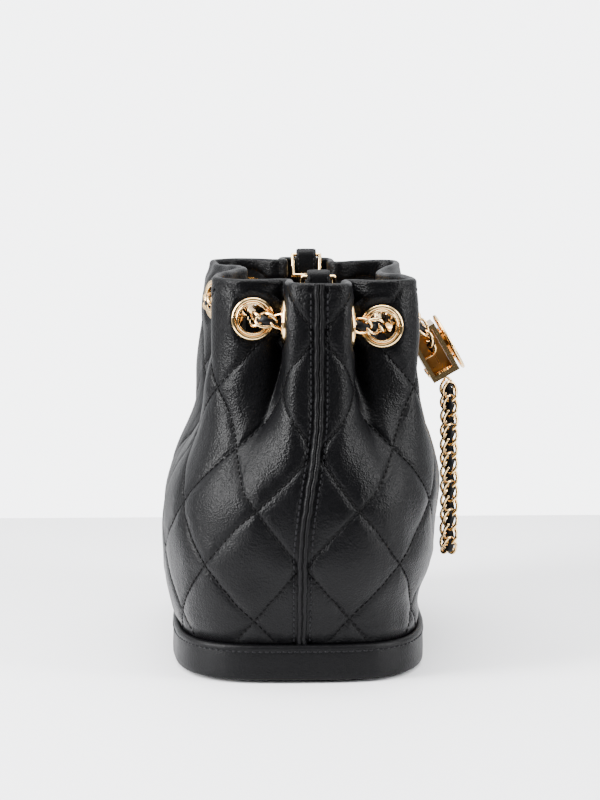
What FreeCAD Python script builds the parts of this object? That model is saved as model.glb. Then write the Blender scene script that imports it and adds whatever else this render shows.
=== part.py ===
import FreeCAD, Part

import math
import os

import Sketcher

V = FreeCAD.Vector

# A small drawstring bucket bag of quilted leather with gold hardware, in millimetres.
# The origin is the centre of the base on the table, +Z is up, the long side runs along X
# and the front, where the drawstring's slider hangs, faces -Y.

SIZES = {
    "leather": 2.2,
    "facing_leather": 1.0,
    "lining_cloth": 0.8,
    "layer_gap": 0.25,
    "panel_bottom": 4.4,
    "rim_height": 179.0,
    "facing_bottom": 141.0,
    "facing_drop": 0.6,
    "facing_lap": 0.5,
    "lining_bottom": 8.2,
    "lining_floor_bottom": 7.2,
    "lining_floor_room": 0.8,
    "mouth_lean": 7.5,
    "band_bottom": 1.5,
    "band_height": 16.0,
    "band_leather": 3.0,
    "band_clearance": 0.5,
    "base_bottom": 2.0,
    "base_leather": 2.0,
    "stiffener_board": 2.0,
    "stiffener_gap": 0.2,
    "stiffener_length": 156.0,
    "stiffener_width": 100.0,
    "stiffener_corner": 24.0,
    "foot_spacing_long": 116.0,
    "foot_spacing_wide": 66.0,
    "foot_head": 9.0,
    "foot_head_height": 2.0,
    "foot_shank": 2.6,
    "foot_hole": 3.0,
    "foot_washer": 8.0,
    "foot_washer_thick": 0.6,
    "foot_washer_gap": 0.05,
    "piping_width": 3.6,
    "piping_height": 1.5,
    "eyelet_height": 160.0,
    "mouth_tilt": 0.06,
    "back_fullness": 8.5,
    "eyelet_outer": 19.5,
    "eyelet_bore": 12.8,
    "eyelet_proud": 1.6,
    "eyelet_barrel": 14.2,
    "washer_outer": 18.0,
    "washer_thick": 0.8,
    "chain_width": 7.0,
    "slider_tilt": 30.0,
    "slider_long": 25.0,
    "slider_wide": 22.0,
    "slider_deep": 14.0,
    "slider_plate": 2.0,
    "slider_foot_plate": 2.5,
    "slider_hole": 9.0,
    "strand_spacing": 12.8,
    "divider_thick": 1.2,
    "medallion_outer": 29.0,
    "medallion_thick": 1.8,
    "medallion_neck": 12.0,
    "medallion_neck_long": 1.2,
    "screw_head": 3.0,
    "screw_head_thick": 0.8,
    "screw_across": 7.0,
    "screw_up": 8.0,
    "slider_fit": 0.05,
    "tab_width": 10.2,
    "tab_leather": 2.2,
    "tab_pivot_x": 80.0,
    "tab_pivot_height": 181.0,
    "tab_outer_bottom": 150.0,
    "tab_inner_bottom": 165.0,
    "ring_wire": 2.0,
    "ring_width": 13.6,
    "ring_length": 11.4,
    "ring_lean": 28.0,
    "ring_room": 0.15,
    "rivet_head": 5.0,
    "rivet_height": 154.0,
    "strap_coil_outer": 92.0,
    "strap_coil_inner": 44.0,
    "strap_coil_height": 8.0,
    "strap_coil_bottom": 8.3,
}

os.makedirs("parts", exist_ok=True)
doc = FreeCAD.newDocument("bucket_bag")
sheet = doc.addObject("Spreadsheet::Sheet", "Sizes")
for row, (alias, value) in enumerate(SIZES.items(), start=1):
    sheet.set(f"A{row}", alias)
    sheet.set(f"B{row}", str(value))
    sheet.setAlias(f"B{row}", alias)
doc.recompute()

nodes = []


def size(alias):
    """The present value of one cell of the sheet."""
    return float(getattr(sheet, alias))


def keep(label, obj):
    """Name a sub-part and list it for writing."""
    obj.Label = label
    nodes.append(obj)
    return obj


def solid_feature(label, shape):
    """A sub-part whose shape is worked out below from the sheet's sizes."""
    feature = doc.addObject("Part::Feature", label)
    feature.Shape = shape
    feature.Placement = shape.Placement
    return keep(label, feature)


# ---------------------------------------------------------------- the soft shell's outline

# One quadrant of the gathered mouth, from the side seam at the bag's end to the middle of
# its front: a pleat at the seam, a valley, the corner pleat, and the centre valley.
PLEATED_QUADRANT = (
    (90.0, 0.0),
    (89.4, 8.0),
    (86.0, 13.2),
    (75.5, 14.8),
    (66.8, 13.4),
    (64.6, 16.6),
    (67.8, 21.2),
    (69.5, 28.7),
    (68.5, 37.5),
    (62.0, 44.5),
    (52.0, 46.0),
    (36.0, 43.0),
    (21.0, 38.5),
    (8.0, 34.5),
    (0.0, 34.0),
)

# The full, ungathered outline at some heights: half length, half width, squareness.
PROFILE = (
    (0.0, 84.8, 55.5, 3.8),
    (17.5, 84.8, 55.5, 3.8),
    (24.0, 88.0, 58.2, 3.6),
    (40.0, 94.0, 62.2, 3.3),
    (58.0, 98.0, 64.2, 3.1),
    (75.0, 99.0, 63.8, 3.0),
    (95.0, 97.5, 61.8, 2.9),
    (115.0, 94.5, 57.5, 2.8),
    (135.0, 91.5, 52.0, 2.7),
    (150.0, 90.0, 47.0, 2.7),
    (180.0, 90.0, 46.0, 2.7),
)
SECTION_HEIGHTS = (10.0, 16.0, 22.0, 31.0, 44.0, 62.0, 80.0, 98.0, 114.0, 128.0, 140.0, 150.0, 164.0)
LEAN_START = 56.0
LEAN_END = 125.0
PLEAT_START = 80.0
PLEAT_END = 148.0


def smooth_step(value, low, high):
    """0 below low, 1 above high, and a smooth rise between them."""
    share = min(1.0, max(0.0, (value - low) / (high - low)))
    return share * share * (3.0 - 2.0 * share)


def profile_at(height):
    """The full outline's half length, half width and squareness at a height."""
    for lower, upper in zip(PROFILE, PROFILE[1:]):
        if height <= upper[0]:
            share = (height - lower[0]) / (upper[0] - lower[0])
            return [low + share * (high - low) for low, high in zip(lower[1:], upper[1:])]
    return list(PROFILE[-1][1:])


def lean_at(height):
    """How far the shell leans towards the front (-Y) at a height."""
    return -size("mouth_lean") * smooth_step(height, LEAN_START, LEAN_END)


def rounded_point(half_length, half_width, squareness, angle):
    """A point of the full outline in the first quadrant."""
    x = half_length * abs(math.cos(angle)) ** (2.0 / squareness)
    y = half_width * abs(math.sin(angle)) ** (2.0 / squareness)
    return (x, y)


def path_lengths(points):
    """The length along a run of points, at each point."""
    lengths = [0.0]
    for first, second in zip(points, points[1:]):
        lengths.append(lengths[-1] + math.dist(first, second))
    return lengths


def full_quadrant(height):
    """The full outline's points that match the pleated quadrant's, by length along it."""
    half_length, half_width, squareness = profile_at(height)
    steps = 400
    fine = [
        rounded_point(half_length, half_width, squareness, 0.5 * math.pi * step / steps)
        for step in range(steps + 1)
    ]
    fine_lengths = path_lengths(fine)
    pleat_lengths = path_lengths(PLEATED_QUADRANT)
    matched = []
    for length in pleat_lengths:
        wanted = length / pleat_lengths[-1] * fine_lengths[-1]
        index = min(range(steps + 1), key=lambda i: abs(fine_lengths[i] - wanted))
        matched.append(fine[index])
    return matched


def quadrant_at(height):
    """The shell's outer outline in one quadrant: full low down, pleated at the mouth."""
    share = smooth_step(height, PLEAT_START, PLEAT_END)
    blended = []
    for full, pleated in zip(full_quadrant(height), PLEATED_QUADRANT):
        x = full[0] + share * (pleated[0] - full[0])
        y = full[1] + share * (pleated[1] - full[1])
        blended.append((x, y))
    return blended


def fullness(x, y, height):
    """How much further the back bulges, mostly on its +X half and just below the rim."""
    across = smooth_step(x, -12.0, 18.0) * (1.0 - 0.55 * smooth_step(x, 30.0, 70.0))
    up = smooth_step(height, PLEAT_START, PLEAT_END) * (1.0 - 0.6 * smooth_step(height, 162.0, 182.0))
    return size("back_fullness") * across * up * smooth_step(y, 26.0, 40.0)


def half_outline(height, front):
    """The outer outline of the front or back half, from the +X seam to the -X seam."""
    quadrant = quadrant_at(height)
    run = quadrant + [(-x, y) for x, y in reversed(quadrant[:-1])]
    if front:
        return [(x, lean_at(height) - y) for x, y in run]
    return [(x, lean_at(height) + y + fullness(x, y, height)) for x, y in run]


def inset(points, distance):
    """Move an open outline inwards, square to itself."""
    moved = []
    for index, (x, y) in enumerate(points):
        before = points[max(index - 1, 0)]
        after = points[min(index + 1, len(points) - 1)]
        along = V(after[0] - before[0], after[1] - before[1], 0)
        if index in (0, len(points) - 1):
            along = V(0, along.y, 0)
        along.normalize()
        inward = V(-along.y, along.x, 0)
        if inward.dot(V(x, y, 0)) > 0 and index in (0, len(points) - 1):
            inward = inward * -1.0
        moved.append((x, y, inward * distance))
    return [(x + step.x, y + step.y) for x, y, step in moved]


SEAM_GAP = 0.15


def half_section(height, front, outer_inset, thickness):
    """One closed section of a half layer: outer edge, inner edge and two short ends."""
    side = -1.0 if front else 1.0
    outline = half_outline(height, front)
    if front:
        outline = [(x, 2.0 * lean_at(height) - y) for x, y in outline]
    outer = inset(outline, outer_inset) if outer_inset else outline
    inner = inset(outline, outer_inset + thickness)
    edges = []
    for run in (outer, inner[::-1]):
        placed = []
        for index, (x, y) in enumerate(run):
            off_seam = y - lean_at(height)
            if index in (0, len(run) - 1):
                off_seam = SEAM_GAP
            placed.append(V(x, lean_at(height) + side * off_seam, height))
        curve = Part.BSplineCurve()
        curve.interpolate(placed)
        edges.append(curve.toShape())
    first_end = Part.LineSegment(edges[0].Vertexes[-1].Point, edges[1].Vertexes[0].Point)
    last_end = Part.LineSegment(edges[1].Vertexes[-1].Point, edges[0].Vertexes[0].Point)
    return Part.Wire([edges[0], first_end.toShape(), edges[1], last_end.toShape()])


def half_layer(front, outer_inset, thickness, bottom, top):
    """A lofted half of the shell, the facing or the lining, cut to its own height."""
    heights = [size("panel_bottom"), *SECTION_HEIGHTS, size("rim_height")]
    sections = [half_section(h, front, outer_inset, thickness) for h in heights]
    layer = Part.makeLoft(sections, True, False)
    if layer.Volume < 0:
        layer.reverse()
    slab = Part.makeBox(400.0, 400.0, top - bottom, V(-200.0, -200.0, bottom))
    return layer.common(slab)


def closed_outline(height, outer_inset):
    """A closed wire all round the shell at one height below the pleats."""
    back = half_outline(height, False)
    if outer_inset:
        back = inset(back, outer_inset)
    front = [(x, 2.0 * lean_at(height) - y) for x, y in back]
    ring = back[:-1] + front[::-1][:-1]
    curve = Part.BSplineCurve()
    curve.interpolate([V(x, y, height) for x, y in ring], PeriodicFlag=True)
    return Part.Wire([curve.toShape()])


def plate(bottom, thickness, outer_inset):
    """A flat oval plate that follows the base's outline."""
    wire = closed_outline(0.0, outer_inset)
    face = Part.Face(wire)
    face.translate(V(0, 0, bottom))
    return face.extrude(V(0, 0, thickness))


def foot_places():
    """The four feet's centres on the base."""
    half_long = size("foot_spacing_long") / 2
    half_wide = size("foot_spacing_wide") / 2
    return [(x, y) for x in (-half_long, half_long) for y in (-half_wide, half_wide)]


def drilled(shape, diameter):
    """A base layer with the feet's four holes through it."""
    for x, y in foot_places():
        shape = shape.cut(Part.makeCylinder(diameter / 2, 30.0, V(x, y, -5.0)))
    return shape


# ---------------------------------------------------------------- where the eyelets sit

# Their places in the pleated quadrant: on the seam pleat, on the corner pleat and beside
# the centre valley. Each one's wall runs between the outline's points next to it.
EYELET_POINTS = {"seam": 3, "corner": 7, "centre": 12}


def mouth_height(off_seam):
    """The eyelets' height, which rises from the front of the mouth to its back."""
    return size("eyelet_height") + size("mouth_tilt") * off_seam


def eyelet_axis(name, end, front):
    """An eyelet's centre on the leather and its outward direction."""
    index = EYELET_POINTS[name]
    height = size("eyelet_height")
    side = -1.0 if front else 1.0
    places = []
    for x, y in PLEATED_QUADRANT[index - 1 : index + 2]:
        extra = 0.0 if front else fullness(end * x, y, height)
        places.append(V(end * x, side * y + extra, 0))
    before, here, after = places
    along = after - before
    outward = V(along.y, -along.x, 0) * (end * side)
    outward.normalize()
    return here + V(0, lean_at(height), mouth_height(here.y)), outward


def eyelet_places():
    """All twelve eyelets: name, whether it is in the front half, centre and direction."""
    places = []
    for front in (True, False):
        for end, end_name in ((-1.0, "left"), (1.0, "right")):
            for name in EYELET_POINTS:
                centre, outward = eyelet_axis(name, end, front)
                half = "front" if front else "back"
                places.append((f"{half}_{end_name}_{name}", front, centre, outward))
    return places


def seats(shape, front):
    """Open a half layer for its six eyelets, and flatten the leather under their rims."""
    room = 0.15
    wall = size("leather") + size("layer_gap") + size("facing_leather")
    for name, in_front, centre, outward in eyelet_places():
        if in_front != front:
            continue
        bore = size("eyelet_barrel") / 2 + room
        through = Part.makeCylinder(bore, 24.0, centre - outward * 12.0, outward)
        rim = size("eyelet_outer") / 2 + room
        outside = Part.makeCylinder(rim, 5.0, centre - outward * 0.35, outward)
        back = size("washer_outer") / 2 + room
        inside = Part.makeCylinder(back, 5.0, centre - outward * (wall - 0.2), outward * -1.0)
        shape = shape.cut(through).cut(outside).cut(inside)
    return shape


# ---------------------------------------------------------------- leather shell and layers

leather = size("leather")
layer_gap = size("layer_gap")
facing_inset = leather + layer_gap
rim_height = size("rim_height")
for front, half in ((True, "front"), (False, "back")):
    panel = half_layer(front, 0.0, leather, size("panel_bottom"), rim_height)
    solid_feature(f"{half}_panel", seats(panel, front))
    facing = half_layer(
        front,
        facing_inset,
        size("facing_leather"),
        size("facing_bottom"),
        rim_height - size("facing_drop"),
    )
    solid_feature(f"{half}_facing", seats(facing, front))
    lining = half_layer(
        front,
        facing_inset,
        size("lining_cloth"),
        size("lining_bottom"),
        size("facing_bottom") - size("facing_lap"),
    )
    solid_feature(f"{half}_lining", lining)


def piping(end):
    """The raised welt along one side seam, on the leather's outside."""
    band_top = size("band_bottom") + size("band_height")
    top = rim_height - 0.5
    heights = [h for h in SECTION_HEIGHTS if band_top + 4 < h < top - 4]
    half_width = size("piping_width") / 2
    sections = []
    for height in [band_top + 0.4] + heights + [top]:
        seam_x = quadrant_at(height)[0][0] + 0.2
        crown_x = seam_x + size("piping_height")
        corners = [(seam_x, -half_width), (crown_x, -half_width * 0.8)]
        corners += [(crown_x, half_width * 0.8), (seam_x, half_width)]
        points = [V(end * x, y + lean_at(height), height) for x, y in corners]
        sections.append(Part.makePolygon(points + points[:1]))
    return Part.makeLoft(sections, True, False)


solid_feature("side_piping_left", piping(-1.0))
solid_feature("side_piping_right", piping(1.0))

# ---------------------------------------------------------------- base

base_top = size("base_bottom") + size("base_leather")
base_plate = plate(size("base_bottom"), size("base_leather"), 0.0)
solid_feature("base_panel", drilled(base_plate, size("foot_hole")))

band_inner = closed_outline(0.0, -size("band_clearance"))
band_outer = closed_outline(0.0, -size("band_clearance") - size("band_leather"))
band_face = Part.Face([band_outer, band_inner])
band_face.validate()
band_face.translate(V(0, 0, size("band_bottom")))
solid_feature("base_band", band_face.extrude(V(0, 0, size("band_height"))))


def plane_sketch(body, role, name):
    """A sketch on one of the body's own origin planes."""
    sketch = body.newObject("Sketcher::SketchObject", name)
    plane = [item for item in body.Origin.OriginFeatures if item.Role == role][0]
    sketch.AttachmentSupport = [(plane, "")]
    sketch.MapMode = "FlatFace"
    return sketch


def bind_point(sketch, geometry, point, across, up):
    """Place one point of a sketch by two expressions from the sketch's origin."""
    for kind, expression in (("DistanceX", across), ("DistanceY", up)):
        index = sketch.addConstraint(Sketcher.Constraint(kind, -1, 1, geometry, point, 1.0))
        sketch.setExpression(f"Constraints[{index}]", expression)


def polygon(sketch, corners):
    """A closed outline with every corner placed by a pair of expressions."""
    count = len(corners)
    ring = [
        V(9.0 + 5.0 * math.cos(2 * math.pi * i / count), 5.0 * math.sin(2 * math.pi * i / count), 0)
        for i in range(count)
    ]
    for index in range(count):
        sketch.addGeometry(Part.LineSegment(ring[index], ring[(index + 1) % count]), False)
    for index in range(count):
        sketch.addConstraint(Sketcher.Constraint("Coincident", index, 2, (index + 1) % count, 1))
    for index, (across, up) in enumerate(corners):
        bind_point(sketch, index, 1, across, up)


def circle(sketch, across, up, diameter):
    """A circle placed by expressions."""
    index = sketch.addGeometry(Part.Circle(V(1, 1, 0), V(0, 0, 1), 2.0), False)
    bind_point(sketch, index, 3, across, up)
    radius = sketch.addConstraint(Sketcher.Constraint("Diameter", index, 4.0))
    sketch.setExpression(f"Constraints[{radius}]", diameter)


def padded_body(label, role, draw, length):
    """A body made by padding one sketch."""
    body = doc.addObject("PartDesign::Body", label)
    sketch = plane_sketch(body, role, f"{label}_outline")
    draw(sketch)
    pad = body.newObject("PartDesign::Pad", f"{label}_pad")
    pad.Profile = sketch
    pad.setExpression("Length", length)
    body.Tip = pad
    doc.recompute()
    return keep(label, body)


def turned_body(label, corners):
    """A body made by turning an outline in the XZ plane about Z."""
    body = doc.addObject("PartDesign::Body", label)
    sketch = plane_sketch(body, "XZ_Plane", f"{label}_outline")
    polygon(sketch, corners)
    turned = body.newObject("PartDesign::Revolution", f"{label}_turned")
    turned.Profile = sketch
    turned.ReferenceAxis = (sketch, ["V_Axis"])
    turned.Angle = 360.0
    body.Tip = turned
    doc.recompute()
    return keep(label, body)


def draw_stiffener(sketch):
    """A rectangle with cut corners and the feet's four holes."""
    half_long = "Sizes.stiffener_length / 2"
    half_wide = "Sizes.stiffener_width / 2"
    bevel = "Sizes.stiffener_corner"
    corners = []
    for across, up in ((1, 1), (-1, 1), (-1, -1), (1, -1)):
        on_side = (f"{across} * {half_long}", f"{up} * ({half_wide} - {bevel})")
        on_front = (f"{across} * ({half_long} - {bevel})", f"{up} * {half_wide}")
        corners += [on_side, on_front] if across == up else [on_front, on_side]
    polygon(sketch, corners)
    for across, up in ((1, 1), (-1, 1), (-1, -1), (1, -1)):
        circle(
            sketch,
            f"{across} * Sizes.foot_spacing_long / 2",
            f"{up} * Sizes.foot_spacing_wide / 2",
            "Sizes.foot_hole",
        )


stiffener = padded_body("base_stiffener", "XY_Plane", draw_stiffener, "Sizes.stiffener_board")
stiffener.setExpression("Placement.Base.z", "Sizes.base_bottom + Sizes.base_leather + Sizes.stiffener_gap")


def group(label, template, places):
    """One node of identical fasteners: a copy of the template's solid at each place."""
    template.Visibility = False
    copies = []
    for place in places:
        copy = template.Shape.copy()
        copy.Placement = place.multiply(copy.Placement)
        copies.append(copy)
    return solid_feature(label, Part.makeCompound(copies))


def fastener(label, corners):
    """A turned template for a group. It isn't a node itself."""
    body = turned_body(label, corners)
    nodes.remove(body)
    return body


def at(x, y, z, direction=V(0, 0, 1)):
    """A placement whose own Z points along a direction."""
    return FreeCAD.Placement(V(x, y, z), FreeCAD.Rotation(V(0, 0, 1), direction))


foot = fastener(
    "foot_template",
    [
        ("0", "0"),
        ("Sizes.foot_head / 2 - 1", "0"),
        ("Sizes.foot_head / 2", "0.8"),
        ("Sizes.foot_head / 2", "Sizes.foot_head_height"),
        ("Sizes.foot_shank / 2", "Sizes.foot_head_height"),
        ("Sizes.foot_shank / 2", "Sizes.foot_head_height + 5"),
        ("0", "Sizes.foot_head_height + 5"),
    ],
)
group("base_feet", foot, [at(x, y, 0.0) for x, y in foot_places()])

foot_washer = fastener(
    "foot_washer_template",
    [
        ("Sizes.foot_hole / 2", "0"),
        ("Sizes.foot_washer / 2", "0"),
        ("Sizes.foot_washer / 2", "Sizes.foot_washer_thick"),
        ("Sizes.foot_hole / 2", "Sizes.foot_washer_thick"),
    ],
)
stiffener_top = base_top + size("stiffener_gap") + size("stiffener_board")
washer_bottom = stiffener_top + size("foot_washer_gap")
group("foot_washers", foot_washer, [at(x, y, washer_bottom) for x, y in foot_places()])

floor_inset = facing_inset + size("lining_floor_room")
lining_floor = plate(size("lining_floor_bottom"), size("lining_cloth"), floor_inset)
solid_feature("lining_floor", lining_floor)

# ---------------------------------------------------------------- eyelets

wall = size("leather") + size("layer_gap") + size("facing_leather")
for name, in_front, centre, outward in eyelet_places():
    eyelet = turned_body(
        f"eyelet_{name}",
        [
            ("Sizes.eyelet_bore / 2", "0.4 - Sizes.leather - Sizes.facing_leather"),
            ("Sizes.eyelet_bore / 2", "Sizes.eyelet_proud - 0.5"),
            ("Sizes.eyelet_bore / 2 + 0.5", "Sizes.eyelet_proud"),
            ("Sizes.eyelet_bore / 2 + 1.3", "Sizes.eyelet_proud - 0.1"),
            ("Sizes.eyelet_bore / 2 + 2", "Sizes.eyelet_proud - 0.6"),
            ("Sizes.eyelet_outer / 2 - 0.9", "Sizes.eyelet_proud - 0.2"),
            ("Sizes.eyelet_outer / 2 - 0.2", "Sizes.eyelet_proud - 0.6"),
            ("Sizes.eyelet_outer / 2", "0.3"),
            ("Sizes.eyelet_outer / 2", "-0.3"),
            ("Sizes.eyelet_barrel / 2", "-0.3"),
            ("Sizes.eyelet_barrel / 2", "0.4 - Sizes.leather - Sizes.facing_leather"),
        ],
    )
    eyelet.Placement = at(centre.x, centre.y, centre.z, outward)
    back = turned_body(
        f"eyelet_washer_{name}",
        [
            ("Sizes.eyelet_barrel / 2 + 0.05", "0"),
            ("Sizes.washer_outer / 2", "0"),
            ("Sizes.washer_outer / 2", "Sizes.washer_thick"),
            ("Sizes.eyelet_barrel / 2 + 0.05", "Sizes.washer_thick"),
        ],
    )
    seat = centre - outward * (wall - 0.1)
    back.Placement = at(seat.x, seat.y, seat.z, outward * -1.0)

# ---------------------------------------------------------------- cords


def rounded_path(points):
    """Straight runs joined by tangent arcs, as large as each pair of runs allows."""
    edges = []
    radii = []
    start = points[0]
    for before, corner, after in zip(points, points[1:], points[2:]):
        into = corner - before
        out = after - corner
        half_turn = into.getAngle(out) / 2
        trim = 0.45 * min(into.Length, out.Length)
        radii.append(trim / math.tan(half_turn))
        into.normalize()
        out.normalize()
        arc_start = corner - into * trim
        arc_end = corner + out * trim
        bisector = out - into
        bisector.normalize()
        centre = corner + bisector * (radii[-1] / math.cos(half_turn))
        middle = centre - bisector * radii[-1]
        edges.append(Part.LineSegment(start, arc_start).toShape())
        edges.append(Part.Arc(arc_start, middle, arc_end).toShape())
        start = arc_end
    edges.append(Part.LineSegment(start, points[-1]).toShape())
    return Part.Wire(edges), radii


def cord(label, points, diameter):
    """A plain tube along a route. Its volume must be its section times its length."""
    path, radii = rounded_path(points)
    first_run = points[1] - points[0]
    section = Part.Wire([Part.makeCircle(diameter / 2, points[0], first_run)])
    tube = path.makePipeShell([section], True, False)
    expected = math.pi * (diameter / 2) ** 2 * path.Length
    error = abs(tube.Volume / expected - 1.0)
    print(f"{label}: length {path.Length:.1f}, least radius {min(radii):.1f}, volume error {error:.4f}")
    assert error < 0.01, label
    return solid_feature(label, tube)


chain_width = size("chain_width")
mouth_lean = lean_at(size("eyelet_height"))


def mouth_route():
    """The drawstring's way round the mouth, from one front eyelet to the other."""
    quadrant = ((75.5, 28.7), (62.0, 28.7), (45.0, 30.2), (24.2, 28.0), (19.1, 45.0))
    fuller = ((75.5, 29.1), (62.0, 29.1), (45.0, 33.0), (26.2, 34.2), (18.6, 53.2))
    route = [(-20.2, -41.4)] + [(-x, -y) for x, y in quadrant[:4][::-1]]
    route += [(-x, y) for x, y in quadrant] + list(fuller[::-1])
    route += [(x, -y) for x, y in quadrant[:4]] + [(20.2, -41.4)]
    return [V(x, y + mouth_lean, mouth_height(y)) for x, y in route]


cord("drawstring_mouth", mouth_route(), chain_width)

STRAND = (
    (20.2, -48.9, 157.516),
    (18.23, -55.5, 157.12),
    (17.4, -61.0, 150.5),
    (15.0, -62.5, 146.5),
    (9.6, -63.6, 143.4),
    (6.4, -64.9, 140.7),
)
cord("drawstring_strand_left", [V(-x, y, z) for x, y, z in STRAND], chain_width)
cord("drawstring_strand_right", [V(x, y, z) for x, y, z in STRAND], chain_width)

LOOP = (
    (-6.4, -72.9, 124.6),
    (-6.6, -73.6, 112.0),
    (-7.4, -73.4, 92.0),
    (-7.0, -73.9, 70.0),
    (-7.6, -73.6, 42.5),
    (7.6, -73.6, 42.5),
    (7.0, -73.9, 70.0),
    (7.4, -73.4, 92.0),
    (6.6, -73.6, 112.0),
    (6.4, -72.9, 124.6),
)
cord("drawstring_loop", [V(*point) for point in LOOP], chain_width)

STRAP_LEFT = (
    (-71.6, -7.5, 170.4),
    (-63.5, -7.6, 162.0),
    (-58.0, -7.2, 147.0),
    (-57.5, -5.8, 124.0),
    (-53.5, -4.6, 98.0),
    (-51.5, -2.0, 70.0),
    (-46.0, -3.5, 44.0),
    (-42.5, -7.0, 28.0),
    (-41.0, -5.5, 17.3),
)
STRAP_RIGHT = (
    (71.6, -7.5, 170.4),
    (64.0, -7.3, 161.5),
    (58.6, -7.8, 145.0),
    (56.5, -6.4, 120.0),
    (55.0, -3.0, 94.0),
    (50.0, -2.6, 68.0),
    (47.5, 1.5, 44.0),
    (42.0, 6.0, 29.0),
    (40.5, 5.0, 17.3),
)
cord("strap_drop_left", [V(*point) for point in STRAP_LEFT], chain_width)
cord("strap_drop_right", [V(*point) for point in STRAP_RIGHT], chain_width)
strap_coil = turned_body(
    "strap_coil",
    [
        ("Sizes.strap_coil_inner / 2 + 1.5", "0"),
        ("Sizes.strap_coil_outer / 2 - 1.5", "0"),
        ("Sizes.strap_coil_outer / 2", "1.5"),
        ("Sizes.strap_coil_outer / 2", "Sizes.strap_coil_height - 1.5"),
        ("Sizes.strap_coil_outer / 2 - 1.5", "Sizes.strap_coil_height"),
        ("Sizes.strap_coil_inner / 2 + 1.5", "Sizes.strap_coil_height"),
        ("Sizes.strap_coil_inner / 2", "Sizes.strap_coil_height - 1.5"),
        ("Sizes.strap_coil_inner / 2", "1.5"),
    ],
)
strap_coil.Placement = at(0.0, 0.0, size("strap_coil_bottom"))

# ---------------------------------------------------------------- slider

# The slider's own axes: its length runs up along the two strands, tilted so that the top
# leans back to the bag, and its front face looks outwards and up.
tilt = math.radians(size("slider_tilt"))
slider_up = V(0, math.sin(tilt), math.cos(tilt))
slider_out = V(0, -math.cos(tilt), math.sin(tilt))
slider_centre = V(0, -65.1, 139.8)
slider_turn = FreeCAD.Rotation(V(1, 0, 0), slider_out * -1.0, slider_up, "XYZ")


def in_slider(x, out, up):
    """A placement in the slider: across, outwards from its middle, and up its length."""
    place = slider_centre + V(x, 0, 0) + slider_out * out + slider_up * up
    return FreeCAD.Placement(place, slider_turn)


def draw_slider(sketch):
    """The slider's side view: a closed frame that is open from side to side."""
    half_deep = "Sizes.slider_deep / 2"
    half_long = "Sizes.slider_long / 2"
    for wall_thick, foot_thick in (("0", "0"), ("Sizes.slider_plate", "Sizes.slider_foot_plate")):
        inner_deep = f"({half_deep} - {wall_thick})"
        inner_top = f"({half_long} - {wall_thick})"
        inner_foot = f"(-({half_long} - {foot_thick}))"
        add_rectangle(sketch, inner_deep, inner_top, inner_foot)


def add_rectangle(sketch, half_width, top, bottom):
    """A rectangle between two heights, added to a sketch that may hold others."""
    first = sketch.GeometryCount
    ring = [V(4, 3, 0), V(-4, 3, 0), V(-4, -3, 0), V(4, -3, 0)]
    for index in range(4):
        sketch.addGeometry(Part.LineSegment(ring[index], ring[(index + 1) % 4]), False)
    for index in range(4):
        joined = first + (index + 1) % 4
        sketch.addConstraint(Sketcher.Constraint("Coincident", first + index, 2, joined, 1))
    for index, (side, up) in enumerate(((1, top), (-1, top), (-1, bottom), (1, bottom))):
        bind_point(sketch, first + index, 1, f"{side} * {half_width}", up)


slider_body = padded_body("slider_body", "YZ_Plane", draw_slider, "Sizes.slider_wide")
slider_body.Tip.Midplane = True
solid_volume = slider_body.Shape.Volume
doc.recompute()
holes = slider_body.newObject("Sketcher::SketchObject", "slider_holes")
foot_plane = [item for item in slider_body.Origin.OriginFeatures if item.Role == "XY_Plane"][0]
holes.AttachmentSupport = [(foot_plane, "")]
holes.MapMode = "FlatFace"
for side in (1, -1):
    circle(holes, f"{side} * Sizes.strand_spacing / 2", "0", "Sizes.slider_hole")
strand_holes = slider_body.newObject("PartDesign::Pocket", "slider_strand_holes")
strand_holes.Profile = holes
strand_holes.Type = "Length"
strand_holes.Reversed = False
strand_holes.setExpression("Length", "Sizes.slider_long / 2 + 1")
slider_body.Tip = strand_holes
doc.recompute()
print("slider holes cut", round(solid_volume - slider_body.Shape.Volume, 1))
assert slider_body.Shape.Volume < solid_volume - 100
slider_body.Placement = in_slider(0.0, 0.0, 0.0)


def bound_box(label, length, width, height):
    """A plain plate whose three sizes come from the sheet."""
    box = doc.addObject("Part::Box", label)
    box.setExpression("Length", length)
    box.setExpression("Width", width)
    box.setExpression("Height", height)
    doc.recompute()
    return keep(label, box)


inner_deep = size("slider_deep") - 2 * size("slider_plate")
divider = bound_box(
    "slider_divider",
    "Sizes.divider_thick",
    "Sizes.slider_deep - 2 * Sizes.slider_plate - 2 * Sizes.slider_fit",
    "Sizes.slider_long - Sizes.slider_plate - Sizes.slider_foot_plate - 2 * Sizes.slider_fit",
)
divider.Placement = in_slider(
    -size("divider_thick") / 2,
    inner_deep / 2 - size("slider_fit"),
    size("slider_foot_plate") - size("slider_long") / 2 + size("slider_fit"),
)

medallion = turned_body(
    "slider_medallion",
    [
        ("0", "0"),
        ("Sizes.medallion_neck / 2", "0"),
        ("Sizes.medallion_neck / 2", "Sizes.medallion_neck_long"),
        ("Sizes.medallion_outer / 2 - 0.6", "Sizes.medallion_neck_long"),
        ("Sizes.medallion_outer / 2", "Sizes.medallion_neck_long + 0.6"),
        ("Sizes.medallion_outer / 2", "Sizes.medallion_neck_long + Sizes.medallion_thick - 0.6"),
        ("Sizes.medallion_outer / 2 - 0.6", "Sizes.medallion_neck_long + Sizes.medallion_thick"),
        ("Sizes.medallion_outer / 2 - 3", "Sizes.medallion_neck_long + Sizes.medallion_thick"),
        ("Sizes.medallion_outer / 2 - 3.6", "Sizes.medallion_neck_long + Sizes.medallion_thick - 0.5"),
        ("0", "Sizes.medallion_neck_long + Sizes.medallion_thick - 0.3"),
    ],
)
half_deep = size("slider_deep") / 2 + size("slider_fit")
face_place = slider_centre + slider_out * half_deep
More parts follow.
